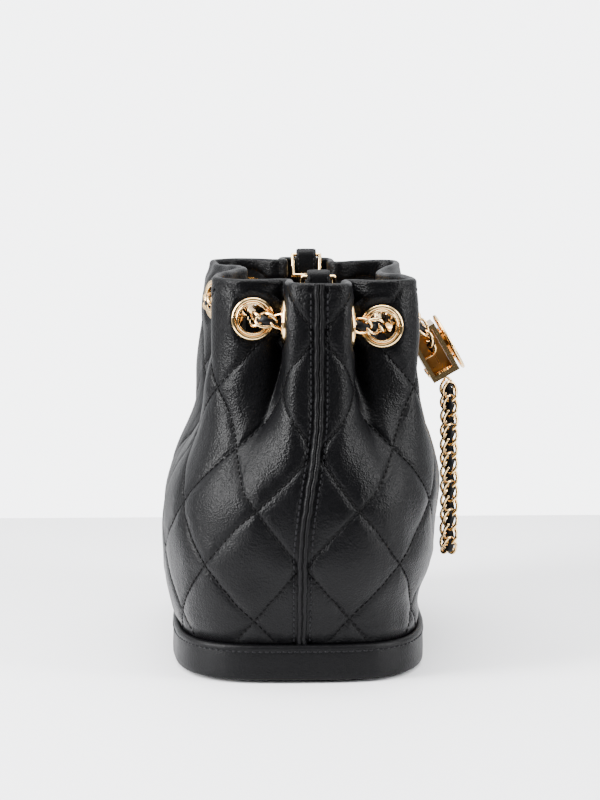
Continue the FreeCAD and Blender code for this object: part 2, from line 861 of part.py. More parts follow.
medallion.Placement = at(face_place.x, face_place.y, face_place.z, slider_out)

screw = fastener(
    "screw_template",
    [
        ("0", "0"),
        ("Sizes.screw_head / 2", "0"),
        ("Sizes.screw_head / 2", "Sizes.screw_head_thick * 0.6"),
        ("Sizes.screw_head / 2 - 0.4", "Sizes.screw_head_thick"),
        ("0", "Sizes.screw_head_thick"),
    ],
)
screw_places = []
for across, up in ((-1, 1), (1, 1), (-1, -1), (1, -1)):
    place = slider_centre + V(across * size("screw_across"), 0, 0)
    place += slider_up * (up * size("screw_up")) - slider_out * half_deep
    screw_places.append(at(place.x, place.y, place.z, slider_out * -1.0))
group("slider_screws", screw, screw_places)

# ---------------------------------------------------------------- strap tabs and rings

mouth_y = lean_at(size("tab_pivot_height"))
for end, end_name in ((-1.0, "left"), (1.0, "right")):
    pivot_x = size("tab_pivot_x")
    pivot_z = size("tab_pivot_height")
    inner_radius = size("ring_wire") / 2 + size("ring_room")
    outer_radius = inner_radius + size("tab_leather")
    leaves = []
    for x_out, x_in, z_low in (
        (outer_radius, inner_radius, size("tab_outer_bottom")),
        (-inner_radius, -outer_radius, size("tab_inner_bottom")),
    ):
        leaf = Part.makeBox(
            abs(x_out - x_in), size("tab_width"), pivot_z - z_low, V(min(x_out, x_in), 0, z_low)
        )
        leaves.append(leaf)
    fold = Part.makeCylinder(outer_radius, size("tab_width"), V(0, 0, pivot_z), V(0, 1, 0))
    fold = fold.cut(Part.makeCylinder(inner_radius, 40.0, V(0, -5, pivot_z), V(0, 1, 0)))
    below = Part.makeBox(20.0, 40.0, 20.0, V(-10.0, -5.0, pivot_z - 20.0))
    tab = fold.cut(below).fuse(leaves).removeSplitter()
    if end < 0:
        tab = tab.mirror(V(0, 0, 0), V(1, 0, 0))
    tab = tab.translated(V(end * pivot_x, mouth_y - size("tab_width") / 2, 0))
    solid_feature(f"strap_tab_{end_name}", tab)

    lean = math.radians(size("ring_lean"))
    half_wide = size("ring_width") / 2
    reach = size("ring_length")
    top_x = end * pivot_x
    low_x = end * (pivot_x - reach * math.sin(lean))
    low_z = pivot_z - reach * math.cos(lean)
    corners = [V(top_x, mouth_y - half_wide, pivot_z), V(top_x, mouth_y + half_wide, pivot_z)]
    corners += [V(low_x, mouth_y + half_wide, low_z), V(low_x, mouth_y - half_wide, low_z)]
    ring = None
    for first, second in zip(corners, corners[1:] + corners[:1]):
        along = second - first
        rod = Part.makeCylinder(size("ring_wire") / 2, along.Length, first, along)
        knuckle = Part.makeSphere(size("ring_wire") / 2, first)
        ring = rod.fuse(knuckle) if ring is None else ring.fuse([rod, knuckle])
    solid_feature(f"strap_ring_{end_name}", ring.removeSplitter())

    rivet = turned_body(
        f"tab_rivet_{end_name}",
        [
            ("0", "0"),
            ("Sizes.rivet_head / 2", "0"),
            ("Sizes.rivet_head / 2", "0.5"),
            ("Sizes.rivet_head / 2 - 0.7", "1"),
            ("0", "1"),
        ],
    )
    rivet_x = end * (pivot_x + inner_radius - size("slider_fit"))
    rivet.Placement = at(rivet_x, mouth_y, size("rivet_height"), V(-end, 0, 0))

# ---------------------------------------------------------------- checks and files

doc.recompute()
for item in doc.Objects:
    if "Invalid" in item.State or "Error" in item.State:
        raise RuntimeError(f"{item.Label} failed: {item.State}")
for node in nodes:
    if node.Shape.isNull() or not node.Shape.isValid():
        raise RuntimeError(f"{node.Label} has no valid shape")
    node.Shape.exportStep(f"parts/{node.Label}.step")
print("parts written:", len(nodes))
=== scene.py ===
import math

import bpy
import numpy as np
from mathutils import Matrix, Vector


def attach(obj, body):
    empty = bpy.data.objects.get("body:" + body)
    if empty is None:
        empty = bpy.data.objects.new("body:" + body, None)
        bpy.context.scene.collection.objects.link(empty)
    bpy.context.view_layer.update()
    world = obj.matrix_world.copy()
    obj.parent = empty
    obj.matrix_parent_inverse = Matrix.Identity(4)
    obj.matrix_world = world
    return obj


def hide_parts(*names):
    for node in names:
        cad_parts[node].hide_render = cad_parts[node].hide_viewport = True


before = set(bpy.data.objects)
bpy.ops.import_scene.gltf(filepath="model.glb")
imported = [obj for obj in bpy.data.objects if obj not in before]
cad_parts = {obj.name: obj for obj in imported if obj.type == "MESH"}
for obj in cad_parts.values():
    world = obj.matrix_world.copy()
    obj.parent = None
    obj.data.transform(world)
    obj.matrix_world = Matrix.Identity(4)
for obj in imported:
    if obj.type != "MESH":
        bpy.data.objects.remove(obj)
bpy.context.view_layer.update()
MM = 0.001

# ---------------------------------------------------------------- materials


def node_material(name):
    """A new material with its node tree emptied down to a shader and an output."""
    material = bpy.data.materials.new(name)
    material.use_nodes = True
    shader = material.node_tree.nodes["Principled BSDF"]
    return material, material.node_tree, shader


def add_node(tree, kind, **settings):
    """One node, with its properties and its unlinked inputs set by name."""
    node = tree.nodes.new(kind)
    for key, value in settings.items():
        if hasattr(node, key):
            setattr(node, key, value)
        else:
            node.inputs[key.replace("_", " ")].default_value = value
    return node


def leather_material(name, color, roughness, grain, grain_size):
    """Fine-grained leather: pebbled bump, creases, and a slight change of gloss and tone."""
    material, tree, shader = node_material(name)
    link = tree.links.new
    place = add_node(tree, "ShaderNodeTexCoord")
    pebbles = add_node(tree, "ShaderNodeTexVoronoi", Scale=1000.0 / grain_size, Randomness=1.0)
    creases = add_node(tree, "ShaderNodeTexNoise", Scale=520.0, Detail=6.0, Roughness=0.65)
    clouds = add_node(tree, "ShaderNodeTexNoise", Scale=38.0, Detail=3.0, Roughness=0.55)
    for texture in (pebbles, creases, clouds):
        link(place.outputs["Object"], texture.inputs["Vector"])
    height = add_node(tree, "ShaderNodeMath", operation="MULTIPLY_ADD")
    height.inputs[1].default_value = 0.8
    link(pebbles.outputs["Distance"], height.inputs[0])
    link(creases.outputs["Fac"], height.inputs[2])
    bump = add_node(tree, "ShaderNodeBump", Strength=grain, Distance=0.00035)
    link(height.outputs[0], bump.inputs["Height"])
    link(bump.outputs["Normal"], shader.inputs["Normal"])
    tone = add_node(tree, "ShaderNodeMapRange")
    tone.inputs["To Min"].default_value = 0.75
    tone.inputs["To Max"].default_value = 1.3
    link(clouds.outputs["Fac"], tone.inputs["Value"])
    paint = add_node(tree, "ShaderNodeVectorMath", operation="SCALE")
    paint.inputs[0].default_value = color
    link(tone.outputs["Result"], paint.inputs["Scale"])
    link(paint.outputs["Vector"], shader.inputs["Base Color"])
    gloss = add_node(tree, "ShaderNodeMapRange")
    gloss.inputs["To Min"].default_value = roughness - 0.06
    gloss.inputs["To Max"].default_value = roughness + 0.08
    link(clouds.outputs["Fac"], gloss.inputs["Value"])
    link(gloss.outputs["Result"], shader.inputs["Roughness"])
    shader.inputs["Specular IOR Level"].default_value = 0.105
    return material


def gold_material(name, color, roughness):
    """Polished pale gold with faint handling marks."""
    material, tree, shader = node_material(name)
    link = tree.links.new
    place = add_node(tree, "ShaderNodeTexCoord")
    marks = add_node(tree, "ShaderNodeTexNoise", Scale=260.0, Detail=4.0, Roughness=0.6)
    link(place.outputs["Object"], marks.inputs["Vector"])
    gloss = add_node(tree, "ShaderNodeMapRange")
    gloss.inputs["To Min"].default_value = roughness * 0.6
    gloss.inputs["To Max"].default_value = roughness * 1.6
    link(marks.outputs["Fac"], gloss.inputs["Value"])
    link(gloss.outputs["Result"], shader.inputs["Roughness"])
    ramp = add_node(tree, "ShaderNodeMapRange")
    ramp.inputs["To Min"].default_value = 0.9
    ramp.inputs["To Max"].default_value = 1.08
    link(marks.outputs["Fac"], ramp.inputs["Value"])
    paint = add_node(tree, "ShaderNodeVectorMath", operation="SCALE")
    paint.inputs[0].default_value = color
    link(ramp.outputs["Result"], paint.inputs["Scale"])
    link(paint.outputs["Vector"], shader.inputs["Base Color"])
    shader.inputs["Metallic"].default_value = 1.0
    return material


def cloth_material(name, color):
    """A dark woven lining."""
    material, tree, shader = node_material(name)
    link = tree.links.new
    place = add_node(tree, "ShaderNodeTexCoord")
    heights = []
    for direction in ("X", "Z"):
        weave = add_node(tree, "ShaderNodeTexWave", Scale=700.0, bands_direction=direction)
        link(place.outputs["Object"], weave.inputs["Vector"])
        heights.append(weave.outputs["Fac"])
    both = add_node(tree, "ShaderNodeMath", operation="MULTIPLY")
    link(heights[0], both.inputs[0])
    link(heights[1], both.inputs[1])
    bump = add_node(tree, "ShaderNodeBump", Strength=0.4, Distance=0.0002)
    link(both.outputs[0], bump.inputs["Height"])
    link(bump.outputs["Normal"], shader.inputs["Normal"])
    tone = add_node(tree, "ShaderNodeMapRange")
    tone.inputs["To Min"].default_value = 0.6
    tone.inputs["To Max"].default_value = 1.2
    link(both.outputs[0], tone.inputs["Value"])
    paint = add_node(tree, "ShaderNodeVectorMath", operation="SCALE")
    paint.inputs[0].default_value = color
    link(tone.outputs["Result"], paint.inputs["Scale"])
    link(paint.outputs["Vector"], shader.inputs["Base Color"])
    shader.inputs["Roughness"].default_value = 0.85
    return material


LEATHER = leather_material("quilted_leather", (0.0012, 0.0012, 0.0015), 0.33, 0.65, 0.8)
EDGE_LEATHER = leather_material("edge_leather", (0.0016, 0.0016, 0.0019), 0.42, 0.4, 0.7)
FACING = leather_material("facing_leather", (0.0020, 0.0020, 0.0023), 0.46, 0.35, 0.7)
LACE = leather_material("lace_leather", (0.0022, 0.0022, 0.0026), 0.40, 0.3, 0.7)
THREAD = leather_material("black_thread", (0.0006, 0.0006, 0.0007), 0.62, 0.5, 0.25)
# The seam rows' thread is black, but it is painted several times lighter than the leather as a painted
# highlight on the raised stitches.
PAINTED_HIGHLIGHT_THREAD = leather_material("seam_thread_painted_highlight", (0.0070, 0.0070, 0.0080), 0.42, 0.4, 0.25)
BOARD = cloth_material("base_board", (0.20, 0.17, 0.13))
LINING = cloth_material("lining_cloth", (0.022, 0.022, 0.024))
GOLD = gold_material("polished_gold", (0.93, 0.64, 0.30), 0.13)
# A darker, rougher copy of the same gold: painted shade for the slider's shadowed inside, not a different
# metal.
PAINTED_SHADE_GOLD = gold_material("painted_shade_gold", (0.34, 0.17, 0.05), 0.30)
CHAIN_GOLD = gold_material("chain_gold", (0.90, 0.61, 0.28), 0.16)

# ---------------------------------------------------------------- the leather shell's form

# The outline is the CAD shell's: pleated at the mouth, full below, in millimetres.
PLEATED_QUADRANT = np.array(
    [
        (90.0, 0.0),
        (89.4, 8.0),
        (86.0, 13.2),
        (75.5, 14.8),
        (66.8, 13.4),
        (64.6, 16.6),
        (67.8, 21.2),
        (69.5, 28.7),
        (68.5, 37.5),
        (62.0, 44.5),
        (52.0, 46.0),
        (36.0, 43.0),
        (21.0, 38.5),
        (8.0, 34.5),
        (0.0, 34.0),
    ]
)
PROFILE = np.array(
    [
        (0.0, 84.8, 55.5, 3.8),
        (17.5, 84.8, 55.5, 3.8),
        (24.0, 88.0, 58.2, 3.6),
        (40.0, 94.0, 62.2, 3.3),
        (58.0, 98.0, 64.2, 3.1),
        (75.0, 99.0, 63.8, 3.0),
        (95.0, 97.5, 61.8, 2.9),
        (115.0, 94.5, 57.5, 2.8),
        (135.0, 91.5, 52.0, 2.7),
        (150.0, 90.0, 47.0, 2.7),
        (190.0, 90.0, 46.0, 2.7),
    ]
)
MOUTH_LEAN = 7.5
LEAN_SPAN = (56.0, 125.0)
PLEAT_SPAN = (80.0, 148.0)
EYELET_HEIGHT = 160.0
MOUTH_TILT = 0.06
BACK_FULLNESS = 8.5
RIM_HEIGHT = 179.0
BAND_TOP = 17.5
QUADRANT_STEPS = len(PLEATED_QUADRANT) - 1
RING_POINTS = 4 * QUADRANT_STEPS
HEIGHT_STEP = 2.0


def smooth_step(value, low, high):
    """0 below low, 1 above high, and a smooth rise between them."""
    share = np.clip((value - low) / (high - low), 0.0, 1.0)
    return share * share * (3.0 - 2.0 * share)


def lengths_along(points):
    """The length along a run of points, at each point."""
    steps = np.linalg.norm(np.diff(points, axis=0), axis=1)
    return np.concatenate([[0.0], np.cumsum(steps)])


QUADRANT_LENGTHS = lengths_along(PLEATED_QUADRANT)
HALF_LENGTH = 2.0 * QUADRANT_LENGTHS[-1]


def full_quadrant(height):
    """The ungathered outline's points that match the pleated ones by length."""
    half_long, half_wide, squareness = (
        np.interp(height, PROFILE[:, 0], PROFILE[:, column]) for column in (1, 2, 3)
    )
    angle = np.linspace(0.0, 0.5 * math.pi, 801)
    x = half_long * np.abs(np.cos(angle)) ** (2.0 / squareness)
    y = half_wide * np.abs(np.sin(angle)) ** (2.0 / squareness)
    fine = np.stack([x, y], axis=1)
    lengths = lengths_along(fine)
    wanted = QUADRANT_LENGTHS / QUADRANT_LENGTHS[-1] * lengths[-1]
    return np.stack([np.interp(wanted, lengths, fine[:, axis]) for axis in (0, 1)], axis=1)


def fullness(x, y, height):
    """How much further the back bulges, mostly on its +X half and just below the rim."""
    across = smooth_step(x, -12.0, 18.0) * (1.0 - 0.55 * smooth_step(x, 30.0, 70.0))
    up = smooth_step(height, *PLEAT_SPAN) * (1.0 - 0.6 * smooth_step(height, 162.0, 182.0))
    return BACK_FULLNESS * across * up * smooth_step(y, 26.0, 40.0)


def outline_ring(height):
    """The closed outline at a height: +X seam, front, -X seam, back."""
    share = smooth_step(height, *PLEAT_SPAN)
    quadrant = (1.0 - share) * full_quadrant(height) + share * PLEATED_QUADRANT
    mirrored = quadrant[::-1]
    front_right = quadrant * (1, -1)
    front_left = mirrored * (-1, -1)
    back_left = quadrant * (-1, 1)
    ring = [front_right[:-1], front_left[:-1], back_left[:-1], mirrored[:-1]]
    ring = np.concatenate(ring)
    ring[:, 1] += fullness(ring[:, 0], ring[:, 1], height)
    ring[:, 1] -= MOUTH_LEAN * smooth_step(height, *LEAN_SPAN)
    return ring


def spline_weights():
    """The matrix that turns outline points into the control points of a smooth closed curve."""
    identity = np.eye(RING_POINTS)
    spread = (4.0 * identity + np.roll(identity, 1, axis=0) + np.roll(identity, -1, axis=0)) / 6.0
    return np.linalg.inv(spread)


def control_rings():
    """Control points of the outline at every height step, smoothed up the shell."""
    heights = np.arange(0.0, 196.0, HEIGHT_STEP)
    rings = np.stack([spline_weights() @ outline_ring(height) for height in heights])
    window = np.array([1.0, 3.0, 5.0, 6.0, 5.0, 3.0, 1.0])
    window /= window.sum()
    padded = np.concatenate([rings[:1]] * 3 + [rings] + [rings[-1:]] * 3)
    return sum(weight * padded[i : i + len(rings)] for i, weight in enumerate(window))


CONTROLS = control_rings()


def plain_shell(along, height):
    """The smooth shell: a point for each length along the outline and height."""
    along, height = np.broadcast_arrays(np.asarray(along, float), np.asarray(height, float))
    halves = np.floor(along / (HALF_LENGTH / 2.0))
    local = along - halves * (HALF_LENGTH / 2.0)
    forward = np.interp(local, QUADRANT_LENGTHS, np.arange(QUADRANT_STEPS + 1.0))
    backward = QUADRANT_STEPS - np.interp(
        HALF_LENGTH / 2.0 - local, QUADRANT_LENGTHS, np.arange(QUADRANT_STEPS + 1.0)
    )
    station = halves * QUADRANT_STEPS + np.where(halves % 2 == 0, forward, backward)
    index = np.floor(station).astype(int)
    part = station - index
    level = np.clip(height / HEIGHT_STEP, 0.0, len(CONTROLS) - 1.001)
    below = np.floor(level).astype(int)
    rise = (level - below)[..., None]
    basis = (
        (1 - part) ** 3 / 6,
        (3 * part**3 - 6 * part**2 + 4) / 6,
        (-3 * part**3 + 3 * part**2 + 3 * part + 1) / 6,
        part**3 / 6,
    )
    flat = 0.0
    for offset, weight in enumerate(basis):
        column = (index - 1 + offset) % RING_POINTS
        point = (1 - rise) * CONTROLS[below, column] + rise * CONTROLS[below + 1, column]
        flat = flat + weight[..., None] * point
    return np.concatenate([flat, height[..., None]], axis=-1)


def unit(vectors):
    """Vectors scaled to length 1."""
    return vectors / np.maximum(np.linalg.norm(vectors, axis=-1, keepdims=True), 1e-9)


def shell_normal(along, height):
    """The smooth shell's outward normal."""
    across = plain_shell(along + 0.4, height) - plain_shell(along - 0.4, height)
    up = plain_shell(along, height + 0.6) - plain_shell(along, height - 0.6)
    return unit(np.cross(up, across))


# ---------------------------------------------------------------- quilting and soft creases

QUILT_LONG = HALF_LENGTH / 6.0
QUILT_TALL = 51.0
QUILT_HEIGHT = 54.0
LINE_SPACING = 1.0 / math.hypot(1.0 / QUILT_LONG, 1.0 / QUILT_TALL)
PILLOW_HEIGHT = 1.25
PILLOW_SPREAD = 3.6
GROOVE_DEPTH = 0.3
GROOVE_WIDTH = 1.0
# The back bulges under its eyelets, and the front is drawn in above the band.
BACK_BULGE = 3.6
BACK_BULGE_HEIGHT = 128.0
FRONT_DRAW = 5.5
FRONT_DRAW_HEIGHT = 33.0
# The chain loop that hangs down the front has pressed the leather in behind it.
LOOP_HOLLOW = 2.4
LOOP_HOLLOW_WIDTH = 19.0
# The rows of topstitching lie this far from each side seam.
SEAM_ROW = 3.4


def field_noise(along, height, cell_along, cell_height, seed):
    """Smooth noise from -1 to 1 over the leather, closed round the bag."""
    columns = max(4, int(round(2.0 * HALF_LENGTH / cell_along)))
    values = np.random.RandomState(seed).uniform(-1.0, 1.0, (80, columns))
    x = along / (2.0 * HALF_LENGTH) * columns
    y = height / cell_height + 7.0
    x0 = np.floor(x).astype(int)
    y0 = np.floor(y).astype(int)
    fx = x - x0
    fy = y - y0
    fx = fx * fx * (3 - 2 * fx)
    fy = fy * fy * (3 - 2 * fy)
    low = values[y0 % 80, x0 % columns] * (1 - fx) + values[y0 % 80, (x0 + 1) % columns] * fx
    high = values[(y0 + 1) % 80, x0 % columns] * (1 - fx)
    high = high + values[(y0 + 1) % 80, (x0 + 1) % columns] * fx
    return low * (1 - fy) + high * fy


def quilt_distances(along, height):
    """The distance to the nearest stitch line of each family."""
    across = along / QUILT_LONG
    up = (height - QUILT_HEIGHT) / QUILT_TALL
    distances = []
    for value in (across + up, across - up):
        distances.append(np.abs(value - np.round(value)) * LINE_SPACING)
    return distances


def seam_distance(along):
    """The distance to the nearer side seam."""
    local = np.mod(along, HALF_LENGTH)
    return np.minimum(local, HALF_LENGTH - local)


def relief(along, height):
    """How far the padded leather stands out from the smooth shell."""
    first, second = quilt_distances(along, height)
    nearest = np.minimum(first, second)
    pillow = PILLOW_HEIGHT * (1.0 - np.exp(-nearest / PILLOW_SPREAD))
    groove = -GROOVE_DEPTH * np.exp(-((nearest / GROOVE_WIDTH) ** 2))
    puckers = 0.16 * field_noise(along, height, 4.4, 4.4, 3) * np.exp(-((nearest - 2.6) / 2.4) ** 2)
    gathered = smooth_step(height, 86.0, 140.0)
    folds = 0.9 * field_noise(along, height, 11.0, 62.0, 5) * gathered
    sag = 1.3 * field_noise(along, height, 38.0, 30.0, 8)
    sag = sag + 0.5 * field_noise(along, height, 15.0, 17.0, 9)
    slack = smooth_step(height, 17.0, 40.0) * (1.0 - 0.6 * gathered)
    creases = 0.2 * field_noise(along, height, 7.5, 13.0, 11)
    turn = np.mod(along, 2.0 * HALF_LENGTH) / HALF_LENGTH
    back = np.clip(np.sin(math.pi * (turn - 1.0)), 0.0, 1.0)
    front = np.clip(np.sin(math.pi * turn), 0.0, 1.0)
    bulge = BACK_BULGE * back * np.exp(-(((height - BACK_BULGE_HEIGHT) / 17.0) ** 2))
    draw = -FRONT_DRAW * front * np.exp(-(((height - FRONT_DRAW_HEIGHT) / 12.0) ** 2))
    draw = draw * smooth_step(height, 15.0, 27.0)
    from_front = (np.mod(along, 2.0 * HALF_LENGTH) - HALF_LENGTH / 2.0) / LOOP_HOLLOW_WIDTH
    hollow = -LOOP_HOLLOW * np.exp(-(from_front**4)) * smooth_step(height, 36.0, 56.0)
    hollow = hollow * (1.0 - smooth_step(height, 122.0, 138.0))
    seam = seam_distance(along)
    seam_pull = -1.1 * np.exp(-((seam / 2.6) ** 2))
    stitch_pull = -0.35 * np.exp(-(((seam - SEAM_ROW) / 0.8) ** 2))
    ends = smooth_step(height, 17.0, 24.0) * (1.0 - smooth_step(height, 171.0, 177.0))
    padded = (pillow + groove + puckers) * ends
    swell = folds + slack * sag + creases + bulge + draw + hollow
    return padded + swell + seam_pull + stitch_pull


def leather(along, height, out=0.0):
    """A point on the padded leather, or out from it by a distance."""
    along = np.asarray(along, float)
    height = np.asarray(height, float)
    lift = relief(along, height) + out
    return plain_shell(along, height) + shell_normal(along, height) * lift[..., None]


def rim_height(along):
    """The mouth's edge rises and dips a little round the bag."""
    back = np.where(np.mod(along, 2 * HALF_LENGTH) > HALF_LENGTH, 1.2, -0.4)
    arch = back * np.sin(math.pi * np.mod(along, HALF_LENGTH) / HALF_LENGTH)
    return RIM_HEIGHT + arch + 0.9 * field_noise(along, 0.0 * along, 34.0, 40.0, 21)


# ---------------------------------------------------------------- mesh helpers


def new_mesh(name, points, faces, material, body, smooth=True, extra=()):
    """A mesh piece in metres from points in millimetres. It rides on a body."""
    mesh = bpy.data.meshes.new(name)
    mesh.from_pydata((np.asarray(points, float).reshape(-1, 3) * MM).tolist(), [], faces)
    for item in (material, *extra):
        mesh.materials.append(item)
    mesh.polygons.foreach_set("use_smooth", [smooth] * len(mesh.polygons))
    mesh.update()
    piece = bpy.data.objects.new(name, mesh)
    bpy.context.scene.collection.objects.link(piece)
    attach(piece, body)
    return piece


def soften_edges(piece, width, segments):
    """Round a piece's sharp edges with a Bevel, its width in millimetres."""
    bevel = piece.modifiers.new("soft_edges", "BEVEL")
    bevel.width = width * MM
    bevel.segments = segments
    bevel.limit_method = "ANGLE"


def grid_faces(rows, columns, closed_columns=False, closed_rows=False, start=0):
    """Quads over a grid of points, rows by columns."""
    row_count = rows if closed_rows else rows - 1
    column_count = columns if closed_columns else columns - 1
    r = np.arange(row_count)[:, None]
    c = np.arange(column_count)[None, :]
    r2 = (r + 1) % rows
    c2 = (c + 1) % columns
    quads = np.stack(
        np.broadcast_arrays(r * columns + c, r * columns + c2, r2 * columns + c2, r2 * columns + c),
        axis=-1,
    )
    return (quads.reshape(-1, 4) + start).tolist()


def tube_points(path, side, radius_side, radius_up, sides=8):
    """Rings of points round a path, with the section's width along side."""
    path = np.asarray(path, float)
    ahead = unit(np.gradient(path, axis=0))
    side = np.broadcast_to(np.asarray(side, float), path.shape)
    across = unit(side - (side * ahead).sum(1, keepdims=True) * ahead)
    up = np.cross(ahead, across)
    angle = np.linspace(0.0, 2.0 * math.pi, sides, endpoint=False)
    ring = np.cos(angle)[None, :, None] * across[:, None] * radius_side
    ring = ring + np.sin(angle)[None, :, None] * up[:, None] * radius_up
    return path[:, None] + ring


def stitches(name, starts, ends, normals, thickness, body, thread=PAINTED_HIGHLIGHT_THREAD):
    """A row of separate thread stitches, each a short flattened capsule on the leather; by default the
    black thread is painted lighter as a painted highlight.
    """
    starts = np.asarray(starts, float)
    ends = np.asarray(ends, float)
    normals = unit(np.asarray(normals, float))
    ahead = unit(ends - starts)
    across = unit(np.cross(normals, ahead))
    shares = np.array([0.0, 0.12, 0.5, 0.88, 1.0])
    widths = np.array([0.25, 0.85, 1.0, 0.85, 0.25]) * thickness / 2.0
    lifts = np.array([-0.22, 0.05, 0.14, 0.05, -0.22])
    angles = np.linspace(0.0, 2.0 * math.pi, 6, endpoint=False)
    centre = starts[:, None] + (ends - starts)[:, None] * shares[None, :, None]
    centre = centre + normals[:, None] * lifts[None, :, None]
    ring = np.cos(angles)[None, None, :, None] * across[:, None, None]
    ring = ring + np.sin(angles)[None, None, :, None] * normals[:, None, None]
    points = centre[:, :, None] + ring * widths[None, :, None, None]
    count = len(starts)
    faces = []
    block = np.array(grid_faces(5, 6, closed_columns=True))
    for index in range(count):
        base = index * 30
        faces.extend((block + base).tolist())
        faces.append([base + i for i in range(5, -1, -1)])
        faces.append([base + 24 + i for i in range(6)])
    return new_mesh(name, points, faces, thread, body)


# ---------------------------------------------------------------- panels

EYELET_STATIONS = {"seam": 3, "corner": 7, "centre": 12}


def eyelet_places():
    """Name, centre on the leather and outward direction of all twelve eyelets."""
    places = []
    for half, side in (("front", -1.0), ("back", 1.0)):
        for end_name, end in (("left", -1.0), ("right", 1.0)):
            for name, index in EYELET_STATIONS.items():
                wall = PLEATED_QUADRANT[index - 1 : index + 2] * (end, side)
                wall[:, 1] += fullness(wall[:, 0], wall[:, 1], EYELET_HEIGHT)
                along = wall[2] - wall[0]
                outward = unit(np.array([along[1], -along[0], 0.0]) * (end * side))
                rise = EYELET_HEIGHT + MOUTH_TILT * wall[1, 1]
                centre = np.array([wall[1, 0], wall[1, 1] - MOUTH_LEAN, rise])
                places.append((f"{half}_{end_name}_{name}", centre, outward))
    return places


EYELETS = eyelet_places()


def near_eyelet(points, radius, depth=5.0):
    """True for points inside a cylinder about an eyelet's axis."""
    inside = np.zeros(points.shape[:-1], bool)
    for _, centre, outward in EYELETS:
        away = points - centre
        axial = away @ outward
        radial = np.linalg.norm(away - axial[..., None] * outward, axis=-1)
        inside |= (radial < radius) & (np.abs(axial) < depth)
    return inside


def seat_flat(points):
    """Press the leather flat under each eyelet's rim."""
    for _, centre, outward in EYELETS:
        away = points - centre
        axial = away @ outward
        radial = np.linalg.norm(away - axial[..., None] * outward, axis=-1)
        press = (1.0 - smooth_step(radial, 9.6, 13.5)) * (np.abs(axial) < 6.0)
        points = points + (press * (-0.25 - axial))[..., None] * outward
    return points


COLUMNS = 380
ROLL = 1.75


def panel_points(front):
    """A grid over one half of the shell, rolled over the mouth's edge to the inside."""
    start = 0.0 if front else HALF_LENGTH
    along = start + np.linspace(0.0, HALF_LENGTH, COLUMNS)
    rows = []
    for share in np.linspace(0.0, 1.0, 235):
        height = 14.0 + share * (rim_height(along) - ROLL - 14.0)
        rows.append(leather(along, height))
    for turn in np.linspace(0.15, 1.0, 9) * math.pi:
        top = rim_height(along) - ROLL
        edge = leather(along, top)
        normal = shell_normal(along, top)
        normal[:, 2] = 0.0
        normal = unit(normal)
        edge = edge - normal * (ROLL * (1.0 - math.cos(turn)))
        edge[:, 2] += ROLL * math.sin(turn)
        rows.append(edge)
    for drop in (1.5, 3.5, 5.5, 7.5, 8.2):
        lower = rows[-1].copy()
        lower[:, 2] = rim_height(along) - ROLL - drop
        if drop == 8.2:
            lower += normal * 0.5
        rows.append(lower)
    return np.stack(rows)


def build_panel(front):
    """The front or back panel's leather, open at its eyelets."""
    points = seat_flat(panel_points(front))
    rows, columns = points.shape[:2]
    centres = (points[:-1, :-1] + points[1:, 1:]) / 2.0
    open_here = near_eyelet(centres, 7.6).reshape(-1)
    faces = [f for f, hole in zip(grid_faces(rows, columns), open_here) if not hole]
    half = "front" if front else "back"
    piece = new_mesh(f"{half}_quilted_leather", points, faces, LEATHER, "bag")
    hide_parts(f"{half}_panel")
    return piece


for front in (True, False):
    build_panel(front)


def line_stitches():
    """Every stitch of the quilting, as start and end places on the leather."""
    pitch = 2.8
    step = pitch * QUILT_TALL / math.hypot(QUILT_LONG, QUILT_TALL)
    heights = np.arange(18.5, 173.5, step)
    found = []
    for half_start in (0.0, HALF_LENGTH):
        for direction in (1.0, -1.0):
            for number in range(-4, 11):
                up = (heights - QUILT_HEIGHT) / QUILT_TALL
                along = QUILT_LONG * (number - direction * up)
                slope = -direction * QUILT_LONG / QUILT_TALL
                inside = (along > 2.6) & (along < HALF_LENGTH - 2.6)
                a = along[inside] + half_start
                h = heights[inside]
                found.append(np.stack([a, h, a + slope * step * 0.8, h + step * 0.8], axis=1))
    return np.concatenate(found)


THREAD_LIFT = 0.14
quilting = line_stitches()
stitch_from = seat_flat(leather(quilting[:, 0], quilting[:, 1], THREAD_LIFT))
stitch_to = seat_flat(leather(quilting[:, 2], quilting[:, 3], THREAD_LIFT))
clear = ~near_eyelet(stitch_from, 10.2)
normals = shell_normal(quilting[:, 0], quilting[:, 1])
stitches(
    "quilting_thread",
    stitch_from[clear],
    stitch_to[clear],
    normals[clear],
    0.85,
    "bag",
    THREAD,
)

# One row on each side of each side seam.
rows_from, rows_to, rows_normal = [], [], []
for seam in (0.0, HALF_LENGTH):
    for offset in (-SEAM_ROW, SEAM_ROW):
        height = np.arange(18.5, 175.0, 2.7)
        along = np.mod(seam + offset, 2.0 * HALF_LENGTH) + 0.0 * height
        rows_from.append(leather(along, height, THREAD_LIFT))
        rows_to.append(leather(along, height + 2.0, THREAD_LIFT))
        rows_normal.append(shell_normal(along, height))
stitches(
    "seam_topstitching",
    np.concatenate(rows_from),
    np.concatenate(rows_to),
    np.concatenate(rows_normal),
    0.85,
    "bag",
)

# ---------------------------------------------------------------- seam welts


